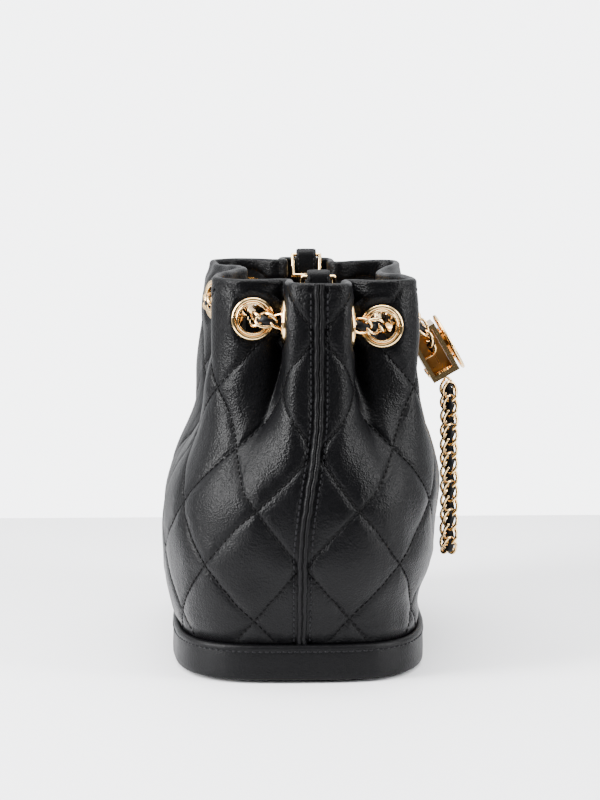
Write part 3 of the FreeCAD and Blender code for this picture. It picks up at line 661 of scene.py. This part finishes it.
def build_welt(seam, name, node):
    """The narrow raised welt on a side seam: two turned lips with a groove between them."""
    heights = np.linspace(BAND_TOP - 0.5, RIM_HEIGHT - 0.4, 150)
    section = [(-2.4, -0.7), (-2.1, 0.35), (-1.5, 1.15), (-0.8, 1.3), (-0.25, 0.85), (0.0, 0.3)]
    section += [(-x, y) for x, y in section[:-1][::-1]]
    rows = []
    for height in heights:
        centre = plain_shell(seam, height)
        normal = shell_normal(seam, height)
        across = np.array([0.0, 1.0, 0.0])
        wave = 0.12 * math.sin(height * 0.9 + seam) + 0.1 * math.sin(height * 0.37)
        rows.append([centre + across * (x + wave) + normal * (y + 0.15) for x, y in section])
    points = np.array(rows)
    piece = new_mesh(name, points, grid_faces(*points.shape[:2]), EDGE_LEATHER, "bag")
    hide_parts(node)


build_welt(0.0, "right_seam_welt", "side_piping_right")
build_welt(HALF_LENGTH, "left_seam_welt", "side_piping_left")

# ---------------------------------------------------------------- facing, lining, floor


def inner_layer(name, inset, bottom, top, material, nodes, rows=46):
    """A smooth layer inside the shell, all the way round, that gives way where the leather is drawn in."""
    along = np.linspace(0.0, 2.0 * HALF_LENGTH, 440, endpoint=False)
    levels = []
    for share in np.linspace(0.0, 1.0, rows):
        height = bottom + share * (top(along) - bottom)
        soft = 0.35 * field_noise(along, height, 22.0, 26.0, 31)
        normal = shell_normal(along, height)
        drawn_in = np.minimum(relief(along, height) + 0.6, 0.0)
        levels.append(plain_shell(along, height) + normal * (drawn_in - inset - soft)[:, None])
    points = np.stack(levels)
    faces = np.array(grid_faces(rows, len(along), closed_columns=True))
    centres = points.reshape(-1, 3)[faces].mean(axis=1)
    keep = ~near_eyelet(centres, 7.4, 9.0)
    piece = new_mesh(name, points, faces[keep][:, ::-1].tolist(), material, "bag")
    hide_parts(*nodes)
    return piece


mouth_facing = inner_layer(
    "mouth_facing",
    3.2,
    140.6,
    lambda along: rim_height(along) - 4.0,
    FACING,
    ("front_facing", "back_facing"),
)
lining_wall = inner_layer(
    "lining_wall",
    3.4,
    8.4,
    lambda along: 141.0 + 0.0 * along,
    LINING,
    ("front_lining", "back_lining"),
    rows=80,
)


def build_floor():
    """The lining's floor: a flat oval, slightly quilted by its own weight."""
    along = np.linspace(0.0, 2.0 * HALF_LENGTH, 220, endpoint=False)
    edge = plain_shell(along, 8.0) - shell_normal(along, 8.0) * 3.6
    rings = []
    for share in np.linspace(1.0, 0.02, 30):
        ring = edge * (share, share, 1.0)
        ring[:, 2] = 7.8 + 0.12 * np.sin(ring[:, 0] * 0.21) * np.cos(ring[:, 1] * 0.27)
        rings.append(ring)
    points = np.stack(rings)
    faces = grid_faces(len(rings), len(along), closed_columns=True)
    last = (len(rings) - 1) * len(along)
    faces.append([last + i for i in range(len(along))])
    piece = new_mesh("lining_bottom", points, faces, LINING, "bag")
    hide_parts("lining_floor")


build_floor()

# ---------------------------------------------------------------- base band


def base_outline(out, height, count=520):
    """Points round the base, moved out from the shell's bottom edge."""
    along = np.linspace(0.0, 2.0 * HALF_LENGTH, count, endpoint=False)
    points = plain_shell(along, 0.0)
    normal = shell_normal(along, 2.0)
    normal[:, 2] = 0.0
    points = points + unit(normal) * out
    points[:, 2] = height
    return points, unit(normal)


BAND_SECTION = (
    (0.2, 1.7),
    (2.2, 1.5),
    (3.1, 1.7),
    (3.5, 2.4),
    (3.55, 5.0),
    (3.5, 9.0),
    (3.45, 12.5),
    (3.3, 14.0),
    (3.2, 14.6),
    (3.45, 15.3),
    (3.5, 16.0),
    (3.2, 16.9),
    (2.4, 17.5),
    (1.4, 17.5),
    (0.7, 17.1),
    (0.3, 16.2),
)


def build_band():
    """The leather band round the base, with a rolled top edge and a stitched groove."""
    rows = []
    for out, height in BAND_SECTION:
        points, normal = base_outline(out, height)
        place = np.linspace(0.0, 2.0 * HALF_LENGTH, len(points), endpoint=False)
        wobble = 0.16 * field_noise(place, 0.0 * place + height, 14.0, 12.0, 41)
        rows.append(points + normal * wobble[:, None])
    points = np.stack(rows)
    faces = np.array(grid_faces(len(rows), points.shape[1], closed_columns=True))
    piece = new_mesh("base_band_leather", points, faces.tolist(), EDGE_LEATHER, "bag")
    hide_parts("base_band")
    count = int(2.0 * HALF_LENGTH / 2.9)
    first, normal = base_outline(3.3, 14.6, count * 20)
    stitches(
        "band_topstitching",
        first[::20],
        first[14::20],
        normal[::20],
        0.7,
        "bag",
    )


build_band()

# ---------------------------------------------------------------- eyelets


def lathe(name, profile, centre, axis, material, body, sides=72):
    """A turned piece: the profile's points are radius and height along the axis."""
    axis = unit(np.asarray(axis, float))
    helper = np.array([0.0, 0.0, 1.0]) if abs(axis[2]) < 0.9 else np.array([1.0, 0.0, 0.0])
    first = unit(np.cross(helper, axis))
    second = np.cross(axis, first)
    angle = np.linspace(0.0, 2.0 * math.pi, sides, endpoint=False)
    circle = np.cos(angle)[:, None] * first + np.sin(angle)[:, None] * second
    rows = [np.asarray(centre, float) + circle * radius + axis * height for radius, height in profile]
    points = np.stack(rows)
    faces = grid_faces(len(rows), sides, closed_columns=True)
    return new_mesh(name, points, faces, material, body)


def arc(centre_radius, centre_height, radius, start, stop, steps=8):
    """Points of an arc in a turned profile, angles in degrees from the outward radius."""
    angles = np.radians(np.linspace(start, stop, steps))
    return [(centre_radius + radius * math.cos(a), centre_height + radius * math.sin(a)) for a in angles]


EYELET_PROFILE = [(6.4, -3.0), (6.4, 0.7)]
EYELET_PROFILE += arc(7.0, 0.95, 0.6, 180, -30, 9)
EYELET_PROFILE += [(7.58, 0.2)]
EYELET_PROFILE += arc(8.65, 0.15, 1.08, 155, -20, 10)
EYELET_PROFILE += [(9.5, -0.35), (7.2, -0.35), (7.2, -3.0)]
for name, centre, outward in EYELETS:
    ring = lathe(f"eyelet_ring_{name}", EYELET_PROFILE, centre, outward, GOLD, "bag")
    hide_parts(f"eyelet_{name}")
    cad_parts[f"eyelet_washer_{name}"].data.materials[0] = GOLD

# ---------------------------------------------------------------- laced chain

LINK_PITCH = 7.0
LINK_LONG = 4.9
LINK_WIDE = 3.15
LINK_WIRE = 0.72
LINK_TWIST = math.radians(42.0)


def smooth_line(name, points):
    """Points along the smooth line of a route in millimetres: a NURBS spline's own points."""
    curve = bpy.data.curves.new(name, "CURVE")
    curve.dimensions = "3D"
    curve.resolution_u = 12
    spline = curve.splines.new("NURBS")
    spline.points.add(len(points) - 1)
    for control, point in zip(spline.points, points):
        control.co = (*(value * MM for value in point), 1.0)
    spline.order_u = 3
    spline.use_endpoint_u = True
    holder = bpy.data.objects.new(name, curve)
    bpy.context.scene.collection.objects.link(holder)
    mesh = bpy.data.meshes.new_from_object(holder)
    line = np.array([vertex.co[:] for vertex in mesh.vertices]) / MM
    bpy.data.objects.remove(holder)
    bpy.data.curves.remove(curve)
    bpy.data.meshes.remove(mesh)
    return line


def along_line(line, lengths, wanted):
    """Points at lengths along a line, going straight on past its ends."""
    wanted = np.asarray(wanted, float)
    inside = np.clip(wanted, 0.0, lengths[-1])
    points = np.stack([np.interp(inside, lengths, line[:, axis]) for axis in range(3)], axis=-1)
    start = unit(line[1] - line[0])
    stop = unit(line[-1] - line[-2])
    before = np.minimum(wanted, 0.0)[..., None] * start
    after = np.maximum(wanted - lengths[-1], 0.0)[..., None] * stop
    return points + before + after


def chain_frame(line, lengths, wanted, side):
    """Places, width directions and upward directions along a line."""
    ahead = unit(along_line(line, lengths, wanted + 1.5) - along_line(line, lengths, wanted - 1.5))
    side = np.broadcast_to(np.asarray(side, float), ahead.shape)
    across = unit(side - (side * ahead).sum(-1, keepdims=True) * ahead)
    return along_line(line, lengths, wanted), across, np.cross(ahead, across)


def laced_chain(name, line, side, body, segments=26, sides=7):
    """Twisted curb links with a leather lace woven through them, as one mesh."""
    lengths = lengths_along(line)
    count = max(1, int(round(lengths[-1] / LINK_PITCH)))
    pitch = lengths[-1] / count
    turn = np.linspace(0.0, 2.0 * math.pi, segments, endpoint=False)
    section = np.linspace(0.0, 2.0 * math.pi, sides, endpoint=False)
    points = []
    faces = []
    face_block = np.array(grid_faces(segments, sides, closed_columns=True, closed_rows=True))
    wiggle = np.random.RandomState(len(name))
    for index in range(count):
        middle = (index + 0.5) * pitch
        twist = LINK_TWIST * np.cos(turn) + wiggle.uniform(-0.06, 0.06)
        place = middle + LINK_LONG * np.cos(turn)
        wide = LINK_WIDE * np.sin(turn)
        wire = np.stack([LINK_LONG * np.cos(turn), wide * np.cos(twist), wide * np.sin(twist)], axis=1)
        wire_ahead = unit(np.roll(wire, -1, axis=0) - np.roll(wire, 1, axis=0))
        wire_side = unit(np.cross(wire_ahead, wire + (0.0, 0.0, 1e-3)))
        wire_up = np.cross(wire_ahead, wire_side)
        ring = wire[:, None] + LINK_WIRE * (
            np.cos(section)[None, :, None] * wire_side[:, None]
            + np.sin(section)[None, :, None] * wire_up[:, None]
        )
        spot, across, up = chain_frame(line, lengths, middle + ring[..., 0], side)
        points.append((spot + across * ring[..., 1:2] + up * ring[..., 2:3]).reshape(-1, 3))
        faces.extend((face_block + index * segments * sides).tolist())
    link_faces = len(faces)
    base = count * segments * sides
    steps = count * 8 + 1
    place = np.linspace(0.0, lengths[-1], steps)
    phase = math.pi * place / pitch
    spot, across, up = chain_frame(line, lengths, place, side)
    centre = spot + up * (1.25 * np.sin(phase))[:, None] + across * (0.9 * np.cos(phase))[:, None]
    tilt = 0.55 * np.cos(phase)
    wide_way = across * np.cos(tilt)[:, None] + up * np.sin(tilt)[:, None]
    lace = tube_points(centre, wide_way, 1.75, 0.55, 8)
    points.append(lace.reshape(-1, 3))
    faces.extend(grid_faces(steps, 8, closed_columns=True, start=base))
    faces.append([base + i for i in range(8)][::-1])
    faces.append([base + (steps - 1) * 8 + i for i in range(8)])
    piece = new_mesh(name, np.concatenate(points), faces, CHAIN_GOLD, body, extra=(LACE,))
    index = np.zeros(len(faces), int)
    index[link_faces:] = 1
    piece.data.polygons.foreach_set("material_index", index)
    return piece


# The routes repeat the CAD's, in millimetres.
MOUTH_QUADRANT = ((75.5, 28.7), (62.0, 28.7), (45.0, 30.2), (24.2, 28.0), (19.1, 45.0))
FULLER_QUADRANT = ((75.5, 29.1), (62.0, 29.1), (45.0, 33.0), (26.2, 34.2), (18.6, 53.2))


def mouth_route():
    """The drawstring's way round the mouth, from one front eyelet to the other."""
    inner = MOUTH_QUADRANT[:4]
    route = [(-20.2, -41.4)] + [(-x, -y) for x, y in inner[::-1]]
    route += [(-x, y) for x, y in MOUTH_QUADRANT] + list(FULLER_QUADRANT[::-1])
    route += [(x, -y) for x, y in inner] + [(20.2, -41.4)]
    return [(x, y - MOUTH_LEAN, EYELET_HEIGHT + MOUTH_TILT * y) for x, y in route]


STRAND = (
    (20.2, -48.9, 157.516),
    (18.23, -55.5, 157.12),
    (17.4, -61.0, 150.5),
    (15.0, -62.5, 146.5),
    (9.6, -63.6, 143.4),
    (6.4, -64.9, 140.7),
)
LOOP = (
    (-6.4, -72.9, 124.6),
    (-6.6, -73.6, 112.0),
    (-7.4, -73.4, 92.0),
    (-7.0, -73.9, 70.0),
    (-7.6, -73.6, 42.5),
    (7.6, -73.6, 42.5),
    (7.0, -73.9, 70.0),
    (7.4, -73.4, 92.0),
    (6.6, -73.6, 112.0),
    (6.4, -72.9, 124.6),
)
STRAP_LEFT = (
    (-71.6, -7.5, 170.4),
    (-63.5, -7.6, 162.0),
    (-58.0, -7.2, 147.0),
    (-57.5, -5.8, 124.0),
    (-53.5, -4.6, 98.0),
    (-51.5, -2.0, 70.0),
    (-46.0, -3.5, 44.0),
    (-42.5, -7.0, 28.0),
    (-41.0, -5.5, 17.3),
)
STRAP_RIGHT = (
    (71.6, -7.5, 170.4),
    (64.0, -7.3, 161.5),
    (58.6, -7.8, 145.0),
    (56.5, -6.4, 120.0),
    (55.0, -3.0, 94.0),
    (50.0, -2.6, 68.0),
    (47.5, 1.5, 44.0),
    (42.0, 6.0, 29.0),
    (40.5, 5.0, 17.3),
)

mouth_line = smooth_line("mouth_line", mouth_route())
mouth_chain = laced_chain("drawstring_round_mouth", mouth_line, (0, 0, 1), "bag")
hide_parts("drawstring_mouth")
for end, end_name in ((-1.0, "left"), (1.0, "right")):
    line = smooth_line("strand_line", [(end * x, y, z) for x, y, z in STRAND])
    strand = laced_chain(f"drawstring_front_{end_name}", line, (0, 0.5, 0.87), "bag")
    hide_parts(f"drawstring_strand_{end_name}")

loop_line = smooth_line("loop_line", LOOP)
loop = laced_chain("drawstring_hanging_loop", loop_line, (0, 1, 0), "drawstring_loop", 32, 8)
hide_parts("drawstring_loop")


def strap_coil_points():
    """The strap's three flat turns on the lining's floor, from the outside in."""
    steps = 3 * 12 + 5
    points = []
    for step in range(1, steps + 1):
        angle = math.pi + step * math.pi / 6.0
        radius = 42.0 - 16.5 * step / steps + 0.5 * math.sin(2.3 * step)
        points.append((radius * math.cos(angle), radius * math.sin(angle), 12.3))
    return points


STRAP_RISE = ((26.0, 10.5, 14.5), (34.0, 9.0, 19.5))
strap_points = list(STRAP_LEFT) + strap_coil_points() + list(STRAP_RISE) + list(STRAP_RIGHT[-2::-1])
strap_line = smooth_line("strap_line", strap_points)
strap = laced_chain("shoulder_chain", strap_line, (0, 1, 0.05), "bag", 18, 6)
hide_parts("strap_drop_left", "strap_drop_right", "strap_coil")

# ---------------------------------------------------------------- slider

# The slider's own axes: up along the strands, and out through the medallion.
SLIDER_CENTRE = np.array([0.0, -65.1, 139.8])
SLIDER_UP = np.array([0.0, 0.5, 0.8660254])
SLIDER_OUT = np.array([0.0, -0.8660254, 0.5])

# The divider gets the gold with painted shade, standing for the dark inside of the slider.
for node in ("slider_body", "slider_divider", "slider_screws"):
    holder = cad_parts[node]
    holder.data.materials[0] = PAINTED_SHADE_GOLD if node == "slider_divider" else GOLD
    soften_edges(holder, 0.45, 3)


def slider_rail(name, x_span, out_span, up_span, material):
    """A small rounded-edge rail of the slider, between spans of its own axes."""
    points = []
    for up in up_span:
        for x, out in ((0, 0), (1, 0), (1, 1), (0, 1)):
            place = SLIDER_CENTRE + SLIDER_OUT * out_span[out] + SLIDER_UP * up
            points.append(place + (x_span[x], 0.0, 0.0))
    faces = [(3, 2, 1, 0), (4, 5, 6, 7), (0, 1, 5, 4), (1, 2, 6, 5), (2, 3, 7, 6), (3, 0, 4, 7)]
    piece = new_mesh(name, points, faces, material, "slider", smooth=False)
    soften_edges(piece, 0.25, 2)


for side_name, side in (("left", -1.0), ("right", 1.0)):
    near, far = sorted((side * 0.7, side * 2.3))
    slider_rail(f"slider_cross_rail_{side_name}", (near, far), (-4.9, 0.2), (-1.9, -1.1), GOLD)
    # The upright rails get the gold with painted shade as well.
    slider_rail(f"slider_upright_rail_{side_name}", (near, far), (-0.3, 0.4), (-6.8, -1.9), PAINTED_SHADE_GOLD)
    for up in (-6.5, 6.5):
        foot = SLIDER_CENTRE + SLIDER_OUT * 6.9 + SLIDER_UP * up + (side * 7.0, 0.0, 0.0)
        post = [(0.0, -0.1), (1.3, -0.1), (1.3, 0.2), (0.95, 0.4), (0.95, 1.2), (0.0, 1.2)]
        level = "high" if up > 0 else "low"
        lathe(f"medallion_post_{side_name}_{level}", post, foot, SLIDER_OUT, GOLD, "slider", 24)

MEDALLION_PROFILE = [(0.0, 0.1), (6.0, 0.1), (6.0, 1.2), (13.6, 1.2)]
MEDALLION_PROFILE += arc(13.75, 2.1, 0.75, -70, 100, 10)
MEDALLION_PROFILE += [(12.6, 2.75), (12.2, 2.45), (11.8, 2.4), (11.5, 2.62), (11.1, 2.66), (10.8, 2.45)]
MEDALLION_PROFILE += [(10.4, 2.38), (6.0, 2.5), (2.5, 2.58), (0.0, 2.6)]
medallion_seat = SLIDER_CENTRE + SLIDER_OUT * 7.05
medallion = lathe(
    "medallion_disc", MEDALLION_PROFILE, medallion_seat, SLIDER_OUT, GOLD, "slider", 96
)
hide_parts("slider_medallion")

# ---------------------------------------------------------------- strap tabs

TAB_PIVOT = (80.0, -MOUTH_LEAN, 181.0)
TAB_FEET = (150.0, 165.0)
TAB_BEND = 2.25
TAB_HALF_WIDE = 5.05
TAB_HALF_THICK = 1.05
# A tab narrows to this share of its width over this length at each end.
TAB_END_WIDTH = 0.45
TAB_END_LENGTH = 4.0
TAB_STITCH_ROW = 3.9
TAB_STITCH_PITCH = 2.5
TAB_STITCH = 1.8


def tab_route(end):
    """Places, outward directions and widths along a tab: up the wall, over the ring and down."""
    over = np.linspace(0.0, math.pi, 16)[1:-1]
    up = np.linspace(TAB_FEET[0], TAB_PIVOT[2], 40)
    down = np.linspace(TAB_PIVOT[2], TAB_FEET[1], 24)
    turn = np.concatenate([0.0 * up, over, 0.0 * down + math.pi])
    rise = np.concatenate([up, 0.0 * over + TAB_PIVOT[2], down])
    outward = np.stack([end * np.cos(turn), 0.0 * turn, np.sin(turn)], axis=1)
    middle = np.stack([0.0 * turn + end * TAB_PIVOT[0], 0.0 * turn + TAB_PIVOT[1], rise], axis=1)
    places = middle + outward * TAB_BEND
    along = lengths_along(places)
    from_end = np.minimum(np.minimum(along, along[-1] - along) / TAB_END_LENGTH, 1.0)
    widths = TAB_END_WIDTH + (1.0 - TAB_END_WIDTH) * np.sqrt(1.0 - (1.0 - from_end) ** 2)
    return places, outward, widths, along


def build_tab(end_name, end):
    """A folded leather strip with rounded ends and edges, and a stitched line along each edge."""
    places, outward, widths, along = tab_route(end)
    angle = np.linspace(0.0, 2.0 * math.pi, 20, endpoint=False)
    wide = np.sign(np.cos(angle)) * np.abs(np.cos(angle)) ** 0.35
    thick = np.sign(np.sin(angle)) * np.abs(np.sin(angle)) ** 0.7
    thick = thick * (1.0 - 0.14 * np.exp(-(((np.abs(wide) - 0.78) / 0.1) ** 2)))
    points = places[:, None] + outward[:, None] * (thick * TAB_HALF_THICK)[None, :, None]
    points[:, :, 1] += wide[None, :] * TAB_HALF_WIDE * widths[:, None]
    rings, sides = points.shape[:2]
    faces = grid_faces(rings, sides, closed_columns=True)
    faces.append(list(range(sides))[::-1])
    faces.append([(rings - 1) * sides + i for i in range(sides)])
    name = f"strap_tab_leather_{end_name}"
    tab = new_mesh(name, points, faces, EDGE_LEATHER, "bag")
    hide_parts(f"strap_tab_{end_name}")
    starts = np.arange(2.0, along[-1] - TAB_END_LENGTH, TAB_STITCH_PITCH)
    found = []
    for edge in (-TAB_STITCH_ROW, TAB_STITCH_ROW):
        for place in (starts, starts + TAB_STITCH):
            centre = np.stack([np.interp(place, along, places[:, axis]) for axis in range(3)], 1)
            normal = np.stack([np.interp(place, along, outward[:, axis]) for axis in range(3)], 1)
            found.append((centre + normal * (TAB_HALF_THICK - 0.1) + (0.0, edge, 0.0), normal))
    first = np.concatenate([found[0][0], found[2][0]])
    last = np.concatenate([found[1][0], found[3][0]])
    normal = np.concatenate([found[0][1], found[2][1]])
    stitches(f"tab_topstitching_{end_name}", first, last, normal, 0.55, "bag")


build_tab("left", -1.0)
build_tab("right", 1.0)

# ---------------------------------------------------------------- the CAD's other pieces

GOLD_NODES = ["base_feet", "foot_washers"]
for side_name in ("left", "right"):
    GOLD_NODES += [f"strap_ring_{side_name}", f"tab_rivet_{side_name}"]
for node in GOLD_NODES:
    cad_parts[node].data.materials[0] = GOLD
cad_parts["base_panel"].data.materials[0] = EDGE_LEATHER
soften_edges(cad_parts["base_panel"], 0.5, 3)
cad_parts["base_stiffener"].data.materials[0] = BOARD

# ---------------------------------------------------------------- floor, light and camera


def plain_material(name, color, roughness):
    """A pale surface with a very faint change of tone."""
    material, tree, shader = node_material(name)
    place = add_node(tree, "ShaderNodeTexCoord")
    clouds = add_node(tree, "ShaderNodeTexNoise", Scale=9.0, Detail=3.0)
    tree.links.new(place.outputs["Object"], clouds.inputs["Vector"])
    tone = add_node(tree, "ShaderNodeMapRange")
    tone.inputs["To Min"].default_value = 0.985
    tone.inputs["To Max"].default_value = 1.01
    tree.links.new(clouds.outputs["Fac"], tone.inputs["Value"])
    paint = add_node(tree, "ShaderNodeVectorMath", operation="SCALE")
    paint.inputs[0].default_value = color
    tree.links.new(tone.outputs["Result"], paint.inputs["Scale"])
    tree.links.new(paint.outputs["Vector"], shader.inputs["Base Color"])
    shader.inputs["Roughness"].default_value = roughness
    return material


floor_mesh = bpy.data.meshes.new("floor")
FLOOR_HALF = 0.33
corners = [(FLOOR_HALF * x, FLOOR_HALF * y, 0) for x, y in ((-1, -1), (1, -1), (1, 1), (-1, 1))]
floor_mesh.from_pydata(corners, [], [(0, 1, 2, 3)])
floor_mesh.materials.append(plain_material("pale_floor", (0.80, 0.80, 0.815), 0.5))
floor = bpy.data.objects.new("floor", floor_mesh)
bpy.context.scene.collection.objects.link(floor)

world = bpy.data.worlds.new("studio")
bpy.context.scene.world = world
world.use_nodes = True
world_tree = world.node_tree
background = world_tree.nodes["Background"]
background.inputs["Color"].default_value = (0.97, 0.98, 1.0, 1.0)


def sky_share(source, low, high, strength):
    """A smooth rise from 0 to a strength as one part of the direction goes from low to high."""
    share = add_node(world_tree, "ShaderNodeMapRange", interpolation_type="SMOOTHSTEP")
    for name, value in (("From Min", low), ("From Max", high), ("To Min", 0.0), ("To Max", strength)):
        share.inputs[name].default_value = value
    world_tree.links.new(source, share.inputs["Value"])
    return share.outputs["Result"]


# The studio is bright behind the bag and above it, dim on the camera's side, and plain to look at.
direction = add_node(world_tree, "ShaderNodeTexCoord")
parts = add_node(world_tree, "ShaderNodeSeparateXYZ")
world_tree.links.new(direction.outputs["Generated"], parts.inputs[0])
total = add_node(world_tree, "ShaderNodeMath", operation="ADD")
world_tree.links.new(sky_share(parts.outputs["X"], -0.35, 0.7, 1.5), total.inputs[0])
world_tree.links.new(sky_share(parts.outputs["Z"], 0.35, 0.9, 1.6), total.inputs[1])
lit = add_node(world_tree, "ShaderNodeMath", operation="ADD")
lit.inputs[1].default_value = 0.12
world_tree.links.new(total.outputs[0], lit.inputs[0])
seen = add_node(world_tree, "ShaderNodeLightPath")
strength = add_node(world_tree, "ShaderNodeMix", data_type="FLOAT")
world_tree.links.new(seen.outputs["Is Camera Ray"], strength.inputs["Factor"])
world_tree.links.new(lit.outputs[0], strength.inputs["A"])
strength.inputs["B"].default_value = 5.6
world_tree.links.new(strength.outputs["Result"], background.inputs["Strength"])


def area_light(name, place, target, width, height, power, color=(1.0, 1.0, 1.0)):
    """A soft box that looks at a point."""
    light = bpy.data.lights.new(name, "AREA")
    light.shape = "RECTANGLE"
    light.size = width
    light.size_y = height
    light.energy = power
    light.color = color
    holder = bpy.data.objects.new(name, light)
    holder.location = place
    holder.rotation_euler = (Vector(target) - Vector(place)).to_track_quat("-Z", "Y").to_euler()
    bpy.context.scene.collection.objects.link(holder)


area_light("key", (-0.40, 0.85, 0.55), (0, 0, 0.1), 0.35, 0.9, 48.0)
area_light("fill", (-0.45, -0.95, 0.5), (0, 0, 0.1), 0.3, 0.9, 24.0)
area_light("top", (-0.1, 0.0, 1.2), (0, 0, 0.05), 0.9, 0.9, 28.0)

CAMERA_AZIMUTH = 268.2
CAMERA_PITCH = 7.25
CAMERA_DISTANCE = 1.050
azimuth = math.radians(CAMERA_AZIMUTH)
pitch = math.radians(CAMERA_PITCH)
ahead = Vector((-math.sin(azimuth), math.cos(azimuth), -math.tan(pitch)))
aim = Vector((0.0, -0.0019, 0.1164))
camera_data = bpy.data.cameras.new("camera")
camera_data.sensor_width = 36.0
camera_data.lens = 99.5
camera_data.clip_start = 0.01
camera = bpy.data.objects.new("camera", camera_data)
camera.location = aim - ahead * CAMERA_DISTANCE
camera.rotation_euler = ahead.to_track_quat("-Z", "Y").to_euler()
bpy.context.scene.collection.objects.link(camera)
bpy.context.scene.camera = camera
